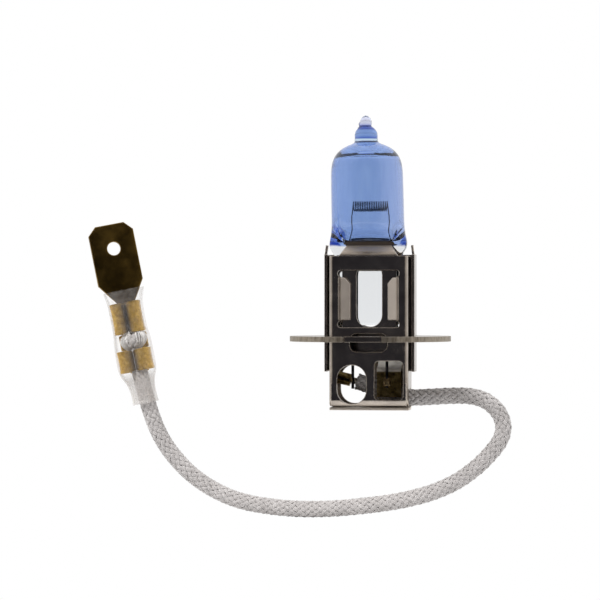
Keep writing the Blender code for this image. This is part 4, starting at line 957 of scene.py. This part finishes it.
def crimp_wings(name, top, bottom, half, front, meet):
    """A grid folded into the B, its free corners rounded, then thickened and eased."""
    right = wing_section(half, front, meet)
    path = [(-u, v) for u, v in right[::-1]] + right[1:]
    rows = 12
    deselect()
    bpy.ops.mesh.primitive_grid_add(x_subdivisions=len(path) - 1, y_subdivisions=rows, size=1)
    wings = bpy.context.object
    wings.name = name
    count = len(path)
    for index, vert in enumerate(wings.data.vertices):
        across, along = index % count, index // count
        u, v = path[across]
        from_end = min(across, count - 1 - across)
        cut = 0.5 * MM * max(0, 1 - from_end / 8) ** 2
        share = along / rows
        w = bottom + cut + (top - bottom - 2 * cut) * share
        flare = 0.1 * MM * max(abs(share - 0.5) * 2 - 0.6, 0) / 0.4
        away = Vector((u, v - 0.2 * MM)).normalized() * flare
        vert.co = (u + away.x + CRIMP_SET, v + away.y, w)
    pick(wings)
    sheet = wings.modifiers.new("sheet", "SOLIDIFY")
    sheet.thickness = SHEET_BRASS
    sheet.offset = 0
    ease = wings.modifiers.new("ease", "BEVEL")
    ease.width = 0.09 * MM
    ease.segments = 2
    ease.angle_limit = math.radians(50)
    for modifier in ("sheet", "ease"):
        bpy.ops.object.modifier_apply(modifier=modifier)
    return wings


def stamp_terminal(look):
    """Blade and both crimps joined as the one stamped part they are."""
    blade = punched_blade()
    wire_wings = crimp_wings("wire_wings", -1.7 * MM, -6.0 * MM, 1.8 * MM, -1.05 * MM, 0.32 * MM)
    grip_wings = crimp_wings("grip_wings", -8.35 * MM, -11.35 * MM, 2.02 * MM, -1.6 * MM, 0.18 * MM)
    pick(wire_wings, grip_wings, blade)
    bpy.ops.object.join()
    blade.name = "stamped_terminal"
    blade.data.transform(TERMINAL_MATRIX)
    face_outwards(MERGE)
    finish_skin(blade, look, math.radians(40))
    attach(blade, BODY)
    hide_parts("spade_terminal")


STRANDS_IN_TUFT = 90
STRAND_DIAMETER = 0.13 * MM


def frayed_end(look):
    """The braid's cut end, burst into two tufts between the crimps by strands looped outwards."""
    lines = []
    for tuft, lean in ((-0.72, -0.12), (0.86, 0.16)):
        for _ in range(STRANDS_IN_TUFT):
            around = DICE.uniform(0, 2 * math.pi)
            girth = DICE.uniform(0.55, 1.0)
            skew = DICE.uniform(-0.25, 0.25)
            line = []
            for step in range(11):
                share = step / 10
                rise = math.sin(math.pi * share) ** 0.7
                turn = around + skew * share
                u = tuft * (0.45 + 0.55 * rise) + lean + 0.98 * rise * girth * math.cos(turn)
                v = -0.25 + 1.28 * rise * girth * math.sin(turn)
                w = -7.05 + 1.5 * (0.5 - share) * 2 * (0.75 + 0.25 * girth) + tuft * 0.18
                line.append(terminal_point(u * MM, v * MM, w * MM))
            lines.append(line)
    tufts = wire_piece("frayed_braid_end", lines, STRAND_DIAMETER, 1, look)
    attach(tufts, BODY)


def weld_bead(name, place, size, look):
    """A squashed, lumpy bead of re-melted metal."""
    deselect()
    bpy.ops.mesh.primitive_uv_sphere_add(segments=24, ring_count=14, radius=1, location=(0, 0, 0))
    bead = bpy.context.object
    bead.name = name
    for vert in bead.data.vertices:
        broad = 0.14 * math.sin(4 * vert.co.x + 1.3) * math.cos(3 * vert.co.z)
        lump = 1 + broad + 0.08 * math.sin(9 * vert.co.z)
        vert.co = Vector(place) + Vector([a * b * lump for a, b in zip(vert.co, size)])
    bead.data.materials.append(look)
    bead.data.shade_smooth()
    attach(bead, BODY)


# ---------------------------------------------------------------- put together

bpy.context.scene.view_settings.view_transform = "Standard"
add_camera()
light_the_studio()
lay_floor()

plate = nickel_plate()
bronze = heat_tinted_bronze()
moly = molybdenum_wire()
for node in ("front_shell", "rear_shell", "pinch_clip_front", "pinch_clip_rear"):
    dress(node, plate)
dress("flange", flange_plate())
for node in ("ground_strap", "live_ferrule"):
    dress(node, bronze)
for node in ("foil_live", "foil_ground", "lead_out_live", "lead_out_ground"):
    dress(node, moly)
dress("lead_conductor", tinned_strands())

blow_glass(coated_glass(), bare_glass())
wind_filament(tungsten_wire())
braid_piece, braid_path, braid_length = braid_lead(braided_glass_fibre())
slip_sleeve(clear_vinyl())
stamp_terminal(terminal_brass())
frayed_end(frayed_fibre())
beads = weld_nugget()
weld_bead("ground_weld", (2.4 * MM, -1.2 * MM, -6.3 * MM), (0.62 * MM, 0.42 * MM, 0.75 * MM),
          beads)
weld_bead("live_weld", (-2.62 * MM, -0.05 * MM, -6.0 * MM), (0.32 * MM, 0.3 * MM, 0.4 * MM),
          beads)

tuple(braid_path[0])
[tuple(p) for p in braid_path]
